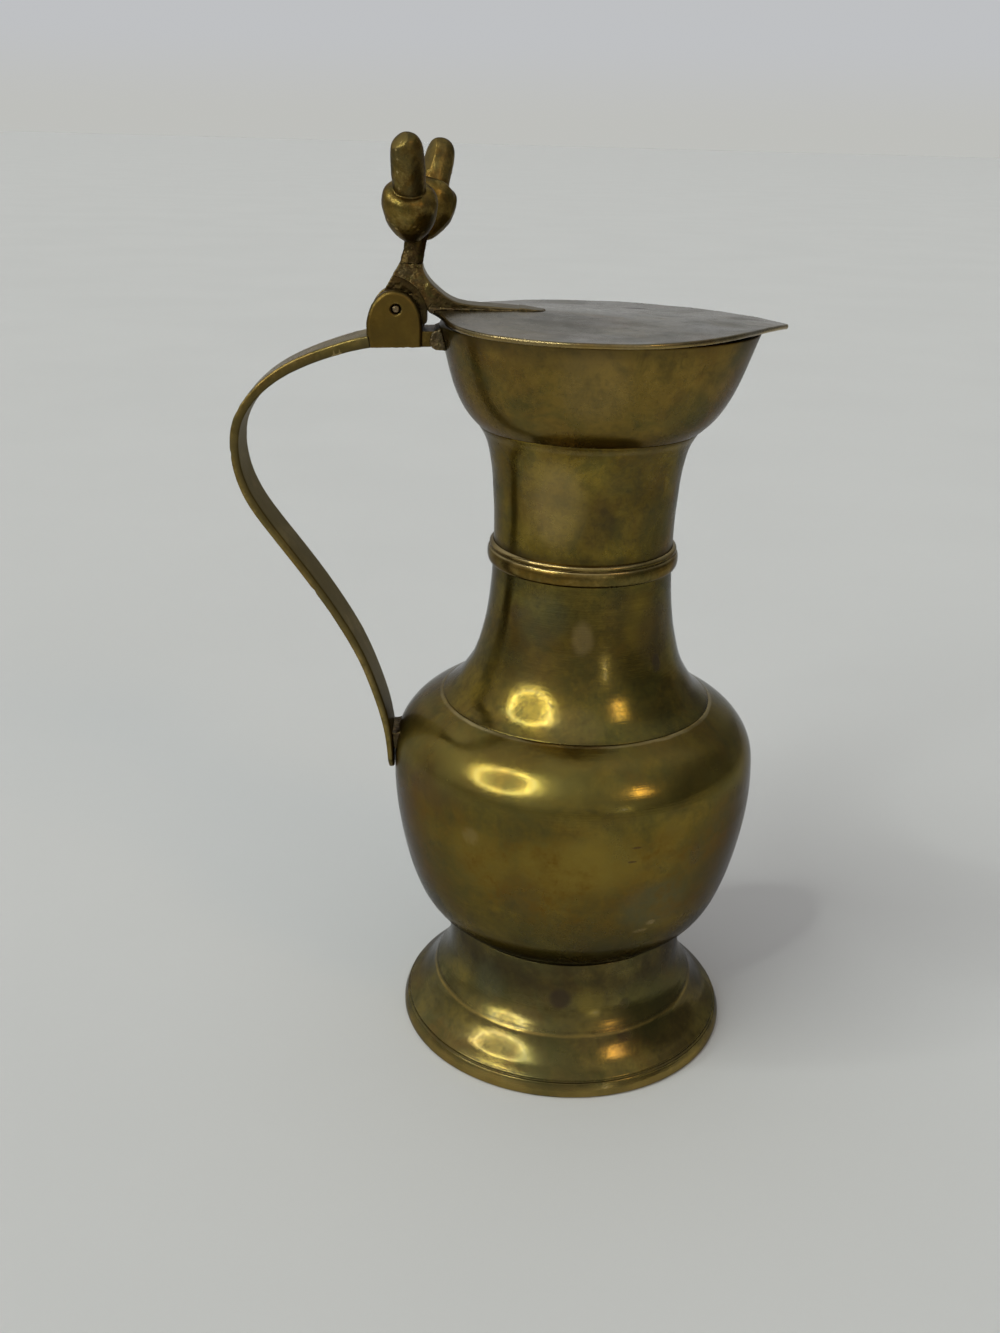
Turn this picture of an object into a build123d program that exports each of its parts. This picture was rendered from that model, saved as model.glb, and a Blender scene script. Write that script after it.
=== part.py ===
# Lidded ewer in spun and cast brass, about 24 cm tall.
# Millimetres. +Z is up, the origin is the centre of the foot's resting plane on the
# axis of the vessel. +X points at the pouring lip, -X at the handle, and the hinge
# pin runs along Y, with -Y the side called near and +Y the side called far.
from build123d import *
import math
import os

os.makedirs("parts", exist_ok=True)

# ------------------------------------------------------------------ dimensions
wall = 1.4                 # thickness of the spun walls
foot_wall = 1.5
z_foot_top = 32.8          # where the foot meets the floor of the belly
z_groove = 100.0           # scribed shoulder line, joint of belly and shoulder
z_ring_low, z_ring_top = 137.2, 142.9
z_collar = 140.0           # joint hidden behind the neck ring
z_seam = 173.2             # joint of upper neck and mouth bowl
z_rim = 197.8              # plane of the mouth

# outer profile of the foot, from the turned bead up
foot_low = [(46.3, 2.6), (45.0, 4.85), (42.5, 6.75), (40.3, 9.1), (38.5, 11.6), (37.15, 14.1)]
foot_high = [(37.15, 14.1), (35.55, 16.3), (34.4, 18.6), (33.6, 21.2), (33.25, 24.0), (33.0, 28.0),
             (32.6, z_foot_top)]
foot_line = foot_low + foot_high[1:]
# outer profile of the belly, from the edge of its flat floor to the shoulder line
belly_line = [(32.6, z_foot_top), (34.1, 34.5), (36.0, 35.9), (37.7, 37.2), (39.4, 38.9), (41.0, 41.1),
              (42.3, 43.4), (43.4, 45.9), (45.05, 50.6), (46.3, 55.2), (47.3, 59.8), (48.1, 64.4),
              (48.75, 69.0), (49.15, 73.6), (49.3, 78.2), (49.1, 82.8), (48.35, 87.4), (47.3, 90.0),
              (45.8, 92.4), (43.7, 94.8), (41.1, 96.9), (36.3, z_groove)]
# outer profile of the shoulder and neck, from the shoulder line to the seam
neck_line = [(36.3, z_groove), (34.3, 101.6), (32.2, 103.7), (30.6, 106.0), (29.2, 108.2), (28.0, 110.6),
             (27.05, 113.2), (26.3, 116.0), (25.35, 120.0), (24.65, 124.2), (24.1, 129.0), (23.7, 134.5),
             (23.5, 140.0), (23.5, 146.0), (23.65, 151.5), (24.0, 156.5), (24.35, 161.0), (25.1, 165.6),
             (26.2, 169.6), (28.2, z_seam)]

# mouth bowl: round radius and drawing-out of the lip, by height
bowl_levels = [(173.2, 28.2, 0.0), (175.6, 30.5, 0.5), (178.4, 32.4, 0.9), (181.7, 34.0, 1.3),
               (186.3, 35.5, 1.9), (191.5, 36.8, 2.5), (197.8, 38.2, 3.3)]
lip_spread = 38.0          # half width of the lip, degrees

# handle and hinge
strap_width = 14.4
pin_x, pin_z = -48.5, 201.4
pin_diameter = 2.4
knuckle_radius = 4.6
knuckle_width = 6.0
slot_width = 6.6
slot_floor = 196.2
fork_bottom = 192.2
lug_half_width = 6.4

# lid
lid_radius = 41.0
lid_tip = 49.1
lid_thickness = 1.3
lid_under = z_rim + 0.05
lid_crown = 2.3            # how far the sheet rises along the tongue
lid_strap_width = 10.0

# thumbpiece
acorn_tilt = 31.0          # each acorn leans outwards
acorn_twist = 17.0         # the line between the cups is turned about the vertical
tilt_twist = 12.0          # and so is the direction they lean in
acorn_lean = 5.3           # the pair leans towards the lip
acorn_half_gap = 6.45      # from the middle of the pair to the centre of a cup
acorn_x, acorn_z = -43.15, 223.9


# ------------------------------------------------------------------ helpers
def inward(line, t):
    """Points of a wall line moved by the wall thickness towards the axis."""
    out = []
    for i, (r, z) in enumerate(line):
        r0, z0 = line[max(i - 1, 0)]
        r1, z1 = line[min(i + 1, len(line) - 1)]
        dr, dz = r1 - r0, z1 - z0
        n = math.hypot(dr, dz)
        out.append((r - t * dz / n, z + t * dr / n))
    return out


def lip_section(radius, draw):
    """Closed outline of the mouth bowl at one height, drawn out towards +X."""
    pts = []
    for k in range(36):
        a = math.radians(10.0 * k)
        d = math.degrees(math.atan2(math.sin(a), math.cos(a)))
        r = radius + draw * math.exp(-(d / lip_spread) ** 2)
        pts.append((r * math.cos(a), r * math.sin(a)))
    return pts


def lid_rise(x, y):
    """Height of the hump that the lid sheet makes under its tongue."""
    w = 1.0 - 0.85 * min(max((x + 20.0) / 62.0, 0.0), 1.0)
    near = math.degrees(math.atan2(y, x))
    lift = 0.75 * math.exp(-((near + 38.0) / 24.0) ** 2) * min(math.hypot(x, y) / lid_radius, 1.2) ** 2
    droop = 0.7 * max(0.0, (x - 42.0) / 7.0) ** 1.3
    return lid_crown * w * math.exp(-(y / 20.0) ** 2) + lift - droop


# ------------------------------------------------------------------ vessel
foot_in = inward(foot_line, foot_wall)
foot_in[-1] = (foot_in[-1][0], z_foot_top)
with BuildPart() as foot:
    with BuildSketch(Plane.XZ):
        with BuildLine():
            a1 = Line((44.9, 0), (46.1, 0))
            a2 = ThreePointArc((46.1, 0), (46.62, 1.3), foot_line[0])
            a3 = Spline(*foot_low)
            a3b = Spline(*foot_high)
            a4 = Line(foot_line[-1], foot_in[-1])
            a5 = Spline(*foot_in)
            a6 = Line(foot_in[0], (44.9, 0))
        make_face()
        with Locations((37.15, 14.1)):
            Rectangle(0.5, 0.5, rotation=45, mode=Mode.SUBTRACT)
        with Locations((45.25, 4.35)):
            Rectangle(0.4, 0.4, rotation=45, mode=Mode.SUBTRACT)
    revolve(axis=Axis.Z)
foot.part.label = "foot"

belly_in = inward(belly_line, wall)
belly_in = [(31.2, z_foot_top + 1.6), (33.2, z_foot_top + 2.35)] + belly_in[2:]
with BuildPart() as belly:
    with BuildSketch(Plane.XZ):
        with BuildLine():
            b1 = Line((0, z_foot_top), belly_line[0])
            b2 = Spline(*belly_line)
            b3 = Line(belly_line[-1], (belly_in[-1][0], z_groove))
            b4 = Spline(*(belly_in[:-1] + [(belly_in[-1][0], z_groove)]))
            b5 = Line(belly_in[0], (0, z_foot_top + 1.6))
            b6 = Line((0, z_foot_top + 1.6), (0, z_foot_top))
        make_face()
        with Locations((36.3, z_groove)):
            Rectangle(0.55, 0.55, rotation=45, mode=Mode.SUBTRACT)
    revolve(axis=Axis.Z)
belly.part.label = "belly"

neck_in = inward(neck_line, wall)
neck_in[0] = (belly_in[-1][0], z_groove)
neck_in[-1] = (neck_in[-1][0], z_seam)

with BuildPart() as shoulder:
    with BuildSketch(Plane.XZ):
        with BuildLine():
            c1 = Spline(*neck_line)
            c2 = Line(neck_line[-1], neck_in[-1])
            c3 = Spline(*neck_in)
            c4 = Line(neck_in[0], neck_line[0])
        make_face()
        with Locations((30, (z_groove + z_collar) / 2)):
            Rectangle(60, z_collar - z_groove, mode=Mode.INTERSECT)
        with Locations((36.3, z_groove)):
            Rectangle(0.55, 0.55, rotation=45, mode=Mode.SUBTRACT)
    revolve(axis=Axis.Z)
shoulder.part.label = "shoulder"

with BuildPart() as neck_upper:
    with BuildSketch(Plane.XZ):
        with BuildLine():
            d1 = Spline(*neck_line)
            d2 = Line(neck_line[-1], neck_in[-1])
            d3 = Spline(*neck_in)
            d4 = Line(neck_in[0], neck_line[0])
        make_face()
        with Locations((30, (z_collar + z_seam) / 2)):
            Rectangle(60, z_seam - z_collar, mode=Mode.INTERSECT)
        with Locations((28.2, z_seam)):
            Rectangle(0.4, 0.4, rotation=45, mode=Mode.SUBTRACT)
    revolve(axis=Axis.Z)
neck_upper.part.label = "neck_upper"

# the collar covers the joint in the neck; its top edge carries a fine step
with BuildPart() as neck_ring:
    with BuildSketch(Plane.XZ):
        with BuildLine():
            e1 = Line((22.9, z_ring_low), (23.9, z_ring_low))
            e2 = ThreePointArc((23.9, z_ring_low), (24.95, 139.2), (24.8, 141.5))
            e3 = Line((24.8, 141.5), (24.35, 141.9))
            e4 = Line((24.35, 141.9), (24.3, 142.5))
            e5 = Line((24.3, 142.5), (23.8, z_ring_top))
            e6 = Line((23.8, z_ring_top), (22.9, z_ring_top))
            e7 = Line((22.9, z_ring_top), (22.9, z_ring_low))
        make_face()
    revolve(axis=Axis.Z)
    add(shoulder.part, mode=Mode.SUBTRACT)
    add(neck_upper.part, mode=Mode.SUBTRACT)
    # the hollow of the neck stays clear of the collar
    with BuildSketch(Plane.XY.offset(z_ring_low - 1)):
        Circle(23.3)
    extrude(amount=8, mode=Mode.SUBTRACT)
neck_ring.part.label = "neck_ring"

# the mouth bowl as a solid, then hollowed
with BuildPart() as bowl_solid:
    for z, radius, draw in bowl_levels:
        with BuildSketch(Plane.XY.offset(z)):
            with BuildLine():
                Spline(*lip_section(radius, draw), periodic=True)
            make_face()
    loft()

with BuildPart() as bowl_hollow:
    for z, radius, draw in bowl_levels:
        slope = 1.25 if z < 185 else 1.05
        with BuildSketch(Plane.XY.offset(z)):
            with BuildLine():
                Spline(*lip_section(radius - wall * slope, draw), periodic=True)
            make_face()
    loft()

with BuildPart() as mouth_bowl:
    add(bowl_solid.part)
    add(bowl_hollow.part, mode=Mode.SUBTRACT)
mouth_bowl.part.label = "mouth_bowl"

# solder between the foot's upper edge and the floor of the belly, inside the foot
with BuildPart() as foot_solder:
    with BuildSketch(Plane.XZ):
        with BuildLine():
            Polyline((28.6, z_foot_top), (31.15, z_foot_top), (31.4, 29.6), (30.6, 30.6), (28.6, z_foot_top))
        make_face()
    revolve(axis=Axis.Z)
    add(foot.part, mode=Mode.SUBTRACT)
foot_solder.part.label = "foot_solder"

# ------------------------------------------------------------------ handle
# outer and inner line of the strap in the XZ plane, from the fork to the foot
strap_outer = [(-55.2, 194.95), (-58.6, 194.2), (-62.8, 192.95), (-69.4, 190.6), (-75.8, 187.6), (-81.6, 183.6),
               (-86.3, 178.6), (-89.3, 172.8), (-90.1, 166.5), (-89.2, 159.8), (-86.7, 153.4), (-83.0, 147.5),
               (-79.0, 142.0), (-74.9, 136.5), (-70.9, 130.9), (-67.1, 125.3), (-63.5, 119.5), (-60.2, 113.6),
               (-57.4, 107.5), (-55.1, 101.3), (-53.1, 94.9), (-51.7, 88.2), (-51.0, 81.6), (-50.9, 79.0)]
strap_depth = [2.9, 2.85, 2.75, 2.6, 2.5, 2.45, 2.4, 2.35, 2.3, 2.25, 2.2, 2.15, 2.1, 2.1, 2.1, 2.1, 2.1, 2.1,
               2.05, 2.0, 1.95, 1.85, 1.6, 1.5]
strap_inner = []
for i, ((x, z), t) in enumerate(zip(strap_outer, strap_depth)):
    x0, z0 = strap_outer[max(i - 1, 0)]
    x1, z1 = strap_outer[min(i + 1, len(strap_outer) - 1)]
    dx, dz = x1 - x0, z1 - z0
    n = math.hypot(dx, dz)
    strap_inner.append((x - t * dz / n, z + t * dx / n))

with BuildPart() as handle_strap:
    with BuildSketch(Plane.XZ):
        with BuildLine():
            h1 = Spline(*strap_outer)
            h2 = ThreePointArc(strap_outer[-1], (-50.4, 77.6), (-49.0, 77.2))
            h3 = Line((-49.0, 77.2), strap_inner[-1])
            h4 = Spline(*strap_inner[::-1])
            h5 = Line(strap_inner[0], strap_outer[0])
        make_face()
    extrude(amount=strap_width / 2, both=True)
    long_edges = [e for e in handle_strap.edges().filter_by(GeomType.BSPLINE) if e.length > 60]
    fillet(long_edges, radius=0.4)
    # the foot of the strap ends in a tongue shape, seen from behind
    with BuildSketch(Plane.YZ.offset(-60)):
        with BuildLine():
            Polyline((-8.0, 83.6), (-8.0, 76.0), (8.0, 76.0), (8.0, 83.6))
            ThreePointArc((8.0, 83.6), (0, 76.9), (-8.0, 83.6))
        make_face()
    extrude(amount=20, mode=Mode.SUBTRACT)
    add(belly.part, mode=Mode.SUBTRACT)
handle_strap.part.label = "handle_strap"

# ------------------------------------------------------------------ hinge fork
with BuildPart() as hinge_fork:
    with BuildSketch(Plane.XZ) as fork_face:
        with BuildLine():
            Line((-42.1, fork_bottom + 0.3), (-42.1, 197.0))
            EllipticalCenterArc((-48.9, 197.0), 6.8, 8.8, start_angle=0, arc_size=180)
            Line((-55.7, 197.0), (-55.7, 192.05))
            Line((-55.7, 192.05), (-42.1, fork_bottom + 0.3))
        make_face()
    extrude(amount=strap_width / 2, both=True)
    rim_edges = [e for e in hinge_fork.edges()
                 if abs(abs(e.center().Y) - strap_width / 2) < 0.01 and e.center().Z > 196.0]
    fillet(rim_edges, radius=1.1)
    # lug from the fork's base to the mouth bowl
    with BuildSketch(Plane.XZ):
        with BuildLine():
            Polyline((-43.5, fork_bottom + 0.3), (-34.5, fork_bottom + 0.5), (-34.5, 196.5), (-43.5, 196.1),
                     (-43.5, fork_bottom + 0.3))
        make_face()
    extrude(amount=lug_half_width, both=True)
    add(bowl_solid.part, mode=Mode.SUBTRACT)
    # slot for the knuckle
    with BuildSketch(Plane.XZ):
        with Locations((pin_x - 0.6, slot_floor + 8)):
            Rectangle(16, 16)
    extrude(amount=slot_width / 2, both=True, mode=Mode.SUBTRACT)
    # pin hole, worn open at both ends
    with BuildSketch(Plane.XZ):
        with Locations((pin_x, pin_z)):
            Circle(pin_diameter / 2)
    extrude(amount=10, both=True, mode=Mode.SUBTRACT)
    hole_edges = [e for e in hinge_fork.edges().filter_by(GeomType.CIRCLE)
                  if abs(abs(e.center().Y) - strap_width / 2) < 0.01 and abs(e.radius - pin_diameter / 2) < 0.01]
    chamfer(hole_edges, length=0.38)
    add(handle_strap.part, mode=Mode.SUBTRACT)
hinge_fork.part.label = "hinge_fork"

with BuildPart() as hinge_pin:
    with BuildSketch(Plane.XZ):
        with Locations((pin_x, pin_z)):
            Circle(pin_diameter / 2)
    extrude(amount=strap_width / 2 - 0.1, both=True)
    chamfer(hinge_pin.edges().filter_by(GeomType.CIRCLE), length=0.2)
hinge_pin.part.label = "hinge_pin"

# a lump of solder where the lug meets the mouth bowl
with BuildPart() as rim_solder:
    with BuildSketch(Plane.XZ):
        with BuildLine():
            Spline((-35.0, 191.3), (-37.4, 191.8), (-39.8, 192.5), (-40.3, 194.2), (-39.7, 196.0), (-37.9, 196.9),
                   (-35.0, 197.2))
            Line((-35.0, 197.2), (-35.0, 191.3))
        make_face()
    extrude(amount=lug_half_width + 0.55, both=True)
    fillet(rim_solder.edges().filter_by(GeomType.BSPLINE), radius=0.5)
    add(bowl_solid.part, mode=Mode.SUBTRACT)
    add(hinge_fork.part, mode=Mode.SUBTRACT)
rim_solder.part.label = "rim_solder"

# solder under the foot of the strap
with BuildPart() as handle_solder:
    with BuildSketch(Plane.XZ):
        with BuildLine():
            Polyline((-49.9, 84.0), (-50.2, 87.0), (-50.6, 89.6))
            Spline((-50.6, 89.6), (-49.4, 88.6), (-48.2, 88.8), (-46.9, 90.6))
            Polyline((-46.9, 90.6), (-47.4, 89.2), (-48.4, 85.0), (-48.6, 84.0), (-49.9, 84.0))
        make_face()
    extrude(amount=5.6, both=True)
    add(belly.part, mode=Mode.SUBTRACT)
    add(handle_strap.part, mode=Mode.SUBTRACT)
handle_solder.part.label = "handle_solder"

# ------------------------------------------------------------------ lid
# outline seen from above: a circle that runs out to a point over the lip, and narrows
# a little either side of the hinge
tip_turn = 3.0
outline = []
for a in [0, 5, 11, 18, 27, 38, 50, 65, 80, 100, 120, 140, 152, 162, 171, 180,
          189, 198, 208, 220, 240, 260, 280, 295, 310, 322, 333, 342, 349, 355, 360]:
    d = min(a, 360 - a)
    if d <= 38:
        r = lid_radius + (lid_tip - lid_radius) * (1 - d / 38.0) ** 2.2
        if a > 180:
            r -= 0.5 * math.sin(math.pi * d / 38.0)
    elif d < 145:
        r = lid_radius
    else:
        r = lid_radius - 1.9 * math.sin(math.pi * (d - 145) / 35.0)
    t = math.radians(a + tip_turn * max(0.0, 1 - d / 90.0))
    outline.append((r * math.cos(t), r * math.sin(t)))

lid_grid = []
for i in range(21):
    x = -46 + 100.0 * i / 20
    lid_grid.append([Vector(x, y, lid_under + lid_rise(x, y)) for y in [-46 + 92.0 * j / 20 for j in range(21)]])
under_face = Face.make_surface_from_array_of_points(lid_grid)

with BuildPart() as lid_plate:
    thicken(to_thicken=under_face, amount=lid_thickness)
    with BuildSketch(Plane.XY.offset(190)):
        with BuildLine():
            Spline(*outline)
        make_face()
    extrude(amount=20, mode=Mode.INTERSECT)
lid_plate.part.label = "lid_plate"

# seen from above, the tongue narrows to a round end on the lid
half = lid_strap_width / 2
tongue_plan = [(-60, -half), (-38, -half), (-22, -half + 0.5), (-14.6, -half + 1.7)]
with BuildPart() as lid_strap:
    with BuildSketch(Plane.XZ):
        with BuildLine():
            m1 = Line((-47.75, 211.7), (-42.25, 211.7))
            m2 = Spline((-42.25, 211.7), (-41.75, 209.8), (-40.2, 207.6), (-38.2, 205.75), (-35.9, 204.1),
                        (-33.9, 203.2), (-31.6, 202.7), (-28.2, 202.4), (-23.2, 202.15), (-17.5, 201.8),
                        (-12.4, 201.3), tangents=((0.1, -1), (1, -0.12)))
            m3 = Line((-12.4, 201.3), (-12.4, 200.7))
            m4 = Line((-12.4, 200.7), (-40.9, 200.9))
            m5 = Line((-40.9, 200.9), (-41.05, 201.7))
            m6 = Spline((-41.05, 201.7), (-42.2, 204.3), (-43.3, 205.9), (-45.15, 207.45), (-46.7, 208.2),
                        (-49.35, 209.05))
            m7 = Spline((-49.35, 209.05), (-48.7, 210.2), (-47.75, 211.7))
        make_face()
    extrude(amount=half, both=True)
    # the lug draws in towards the stem
    with BuildSketch(Plane.YZ.offset(-60)):
        with BuildLine():
            Polyline((-half, 195), (half, 195), (half, 206.8), (3.0, 211.7), (3.0, 212), (-3.0, 212), (-3.0, 211.7),
                     (-half, 206.8), (-half, 195))
        make_face()
    extrude(amount=60, mode=Mode.INTERSECT)
    with BuildSketch(Plane.XY.offset(195)):
        with BuildLine():
            Polyline(*tongue_plan)
            ThreePointArc(tongue_plan[-1], (-12.4, 0), (tongue_plan[-1][0], -tongue_plan[-1][1]))
            Polyline(*[(x, -y) for x, y in tongue_plan[::-1]])
            Line((-60, half), (-60, -half))
        make_face()
    extrude(amount=20, mode=Mode.INTERSECT)
    # knuckle between the ears, with a heel in front of it
    with BuildSketch(Plane.XZ):
        with Locations((pin_x, pin_z)):
            Circle(knuckle_radius)
        with BuildLine():
            Polyline((-52.2, 204.1), (-49.35, 209.0), (-44.0, 208.5), (-40.9, 203.0), (-41.1, 201.6), (-41.1, 197.9),
                     (-42.0, 197.3), (-46.5, 197.4), (-52.2, 204.1))
        make_face()
    extrude(amount=knuckle_width / 2, both=True)
    with BuildSketch(Plane.XZ):
        with Locations((pin_x, pin_z)):
            Circle(pin_diameter / 2 + 0.05)
    extrude(amount=10, both=True, mode=Mode.SUBTRACT)
    add(lid_plate.part, mode=Mode.SUBTRACT)
lid_strap.part.label = "lid_strap"

# solder run along the sides of the tongue
with BuildPart() as lid_solder:
    with BuildSketch(Plane.XY.offset(200.6)):
        with BuildLine():
            Polyline((-40.6, -half - 0.9), (-36, -half - 0.8), (-22, -half - 0.1), (-15.5, -half + 1.1))
            ThreePointArc((-15.5, -half + 1.1), (-11.9, 0), (-15.5, half - 1.1))
            Polyline((-15.5, half - 1.1), (-22, half + 0.1), (-36, half + 0.8), (-40.6, half + 0.9),
                     (-40.6, -half - 0.9))
        make_face()
    extrude(amount=2)
    with BuildSketch(Plane.XZ):
        with BuildLine():
            Polyline((-45, 200.7), (-10, 200.3), (-10, 201.25), (-18, 201.45), (-30, 201.75), (-45, 201.95),
                     (-45, 200.7))
        make_face()
    extrude(amount=10, both=True, mode=Mode.INTERSECT)
    add(lid_strap.part, mode=Mode.SUBTRACT)
    add(lid_plate.part, mode=Mode.SUBTRACT)
lid_solder.part.label = "lid_solder"

# ------------------------------------------------------------------ thumbpiece
# half outline of one acorn along its own axis: heart-shaped cup with a lip, then the nut
cup_line = [(0, -8.0), (1.6, -7.5), (3.2, -6.2), (4.7, -4.2), (5.85, -1.8), (6.45, 0.6), (6.62, 2.4), (6.4, 3.8)]
cup_top = [(6.4, 3.8), (5.9, 4.9), (5.0, 5.6), (3.8, 5.9)]
cup_low = -8.0
# the nut of the far acorn is a little slimmer and shorter
nut_line = {-1: [(3.8, 5.9), (3.9, 8.0), (3.92, 12.0), (3.78, 15.2), (3.25, 17.6), (2.15, 19.1), (0, 19.6)],
            1: [(3.8, 5.9), (3.77, 8.0), (3.75, 11.0), (3.65, 14.0), (3.2, 16.3), (2.1, 17.9), (0, 18.5)]}


def acorn_frame(side):
    """Centre of the cup and direction of the acorn; side is -1 near, +1 far."""
    tw = math.radians(acorn_twist)
    ox, oy = math.sin(tw) * side, math.cos(tw) * side
    centre = Vector(acorn_x + ox * acorn_half_gap, oy * acorn_half_gap, acorn_z)
    k = math.tan(math.radians(acorn_tilt)) * side
    lw = math.radians(tilt_twist)
    axis = Vector(math.sin(lw) * k + math.tan(math.radians(acorn_lean)), math.cos(lw) * k, 1).normalized()
    return centre, axis


def acorn_plane(side):
    centre, axis = acorn_frame(side)
    across = axis.cross(Vector(0, 1, 0)).normalized()
    return Plane(origin=centre, x_dir=across, z_dir=across.cross(axis))


near_centre, near_axis = acorn_frame(-1)
with BuildPart() as acorn_near:
    with BuildSketch(acorn_plane(-1)):
        with BuildLine():
            Spline(*cup_line, tangents=((1, 0), (-0.25, 1)))
            Spline(*cup_top)
            Spline(*nut_line[-1], tangents=((0.1, 1), (-1, 0)))
            Line(nut_line[-1][-1], (0, cup_low))
        make_face()
    revolve(axis=Axis(near_centre, near_axis))
acorn_near.part.label = "acorn_near"

far_centre, far_axis = acorn_frame(1)
with BuildPart() as acorn_far:
    with BuildSketch(acorn_plane(1)):
        with BuildLine():
            Spline(*cup_line, tangents=((1, 0), (-0.25, 1)))
            Spline(*cup_top)
            Spline(*nut_line[1], tangents=((0.1, 1), (-1, 0)))
            Line(nut_line[1][-1], (0, cup_low))
        make_face()
    revolve(axis=Axis(far_centre, far_axis))
    add(acorn_near.part, mode=Mode.SUBTRACT)
acorn_far.part.label = "acorn_far"

# stem: from the lug's flat top up into the V between the cups
with BuildPart() as thumb_stem:
    with BuildSketch(Plane(origin=(-45.0, 0, 211.7), x_dir=(1, -0.15, 0), z_dir=(0, 0, 1))):
        RectangleRounded(5.2, 5.8, 1.5)
    with BuildSketch(Plane(origin=(-44.4, 0, 214.6), x_dir=(1, -0.22, 0), z_dir=(0, 0, 1))):
        RectangleRounded(4.9, 5.0, 1.5)
    with BuildSketch(Plane(origin=(-43.7, 0, 219.4), x_dir=(1, -0.3, 0), z_dir=(0, 0, 1))):
        RectangleRounded(5.3, 5.6, 1.5)
    loft()
    add(acorn_near.part, mode=Mode.SUBTRACT)
    add(acorn_far.part, mode=Mode.SUBTRACT)
thumb_stem.part.label = "thumb_stem"

# ------------------------------------------------------------------ files
for piece in (foot, belly, shoulder, neck_upper, neck_ring, mouth_bowl, foot_solder, handle_strap,
              handle_solder, hinge_fork, rim_solder, hinge_pin, lid_plate, lid_strap, lid_solder,
              thumb_stem, acorn_near, acorn_far):
    export_step(piece.part, "parts/" + piece.part.label + ".step")
    print(piece.part.label, len(piece.part.solids()), round(piece.part.volume, 1))
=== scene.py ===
import math

import bpy
import numpy as np
from mathutils import Matrix, Vector


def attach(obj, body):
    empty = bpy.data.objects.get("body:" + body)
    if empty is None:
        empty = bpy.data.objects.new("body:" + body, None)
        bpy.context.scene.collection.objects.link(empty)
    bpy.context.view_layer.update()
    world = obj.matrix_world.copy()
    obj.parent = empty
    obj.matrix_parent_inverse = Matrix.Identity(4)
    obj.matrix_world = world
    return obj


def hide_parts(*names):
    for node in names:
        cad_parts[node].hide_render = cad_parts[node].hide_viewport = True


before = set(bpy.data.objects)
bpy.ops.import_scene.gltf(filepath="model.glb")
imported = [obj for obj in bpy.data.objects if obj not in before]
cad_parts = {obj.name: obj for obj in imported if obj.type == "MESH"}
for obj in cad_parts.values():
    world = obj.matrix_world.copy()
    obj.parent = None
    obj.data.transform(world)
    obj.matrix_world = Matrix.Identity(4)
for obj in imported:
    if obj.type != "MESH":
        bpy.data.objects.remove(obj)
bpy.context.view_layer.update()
scene = bpy.context.scene
MM = 0.001

# ============================================================================ camera
# made for a tall frame of 1000 x 1333; the long side of the sensor is 36 mm
S = 1.15
turn, pitch, roll = math.radians(1.5401), math.radians(21.6426), math.radians(1.5661)
fwd = Vector((math.sin(turn) * math.cos(pitch), math.cos(turn) * math.cos(pitch), -math.sin(pitch)))
side = Vector((math.cos(turn), -math.sin(turn), 0.0))
top = side.cross(fwd)
cam_x = math.cos(roll) * side + math.sin(roll) * top
cam_y = -math.sin(roll) * side + math.cos(roll) * top
cam = bpy.data.objects.new("camera", bpy.data.cameras.new("camera"))
scene.collection.objects.link(cam)
cam.matrix_world = Matrix((
    (cam_x.x, cam_y.x, -fwd.x, -0.03007),
    (cam_x.y, cam_y.y, -fwd.y, -0.34369),
    (cam_x.z, cam_y.z, -fwd.z, 0.24293),
    (0, 0, 0, 1)))
cam.data.sensor_width = 36.0
cam.data.lens = 1360.0 / 1333.0 * 36.0
cam.data.clip_start, cam.data.clip_end = 0.01, 20
scene.camera = cam
scene.view_settings.view_transform = "Standard"


# ============================================================================ mesh helpers
def spline(points, per=8, closed=False):
    """Smooth line through the points: a cubic spline over the chord length."""
    p = np.array(points, float)
    n = len(p)
    if closed:
        p = np.vstack([p, p[:1]])
    d = np.sqrt(((p[1:] - p[:-1]) ** 2).sum(1))
    t = np.concatenate([[0], np.cumsum(d)])
    m = len(p)
    A, B = np.zeros((m, m)), np.zeros((m, p.shape[1]))
    h = np.diff(t)
    for i in range(1, m - 1):
        A[i, i - 1], A[i, i], A[i, i + 1] = h[i - 1], 2 * (h[i - 1] + h[i]), h[i]
        B[i] = 6 * ((p[i + 1] - p[i]) / h[i] - (p[i] - p[i - 1]) / h[i - 1])
    if closed:
        A[0, 0], A[0, -1] = 1, -1
        A[-1, 0], A[-1, 1], A[-1, -2], A[-1, -1] = 2 * h[0], h[0], h[-1], 2 * h[-1]
        B[-1] = 6 * ((p[1] - p[0]) / h[0] - (p[-1] - p[-2]) / h[-1])
    else:
        A[0, 0] = A[-1, -1] = 1
    M = np.linalg.solve(A, B)
    out = []
    for i in range(m - 1):
        for k in range(per):
            s = k / per * h[i]
            a, b = (h[i] - s) / h[i], s / h[i]
            out.append(a * p[i] + b * p[i + 1] + ((a ** 3 - a) * M[i] + (b ** 3 - b) * M[i + 1]) * h[i] ** 2 / 6)
    if not closed:
        out.append(p[-1])
    return np.array(out)


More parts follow.
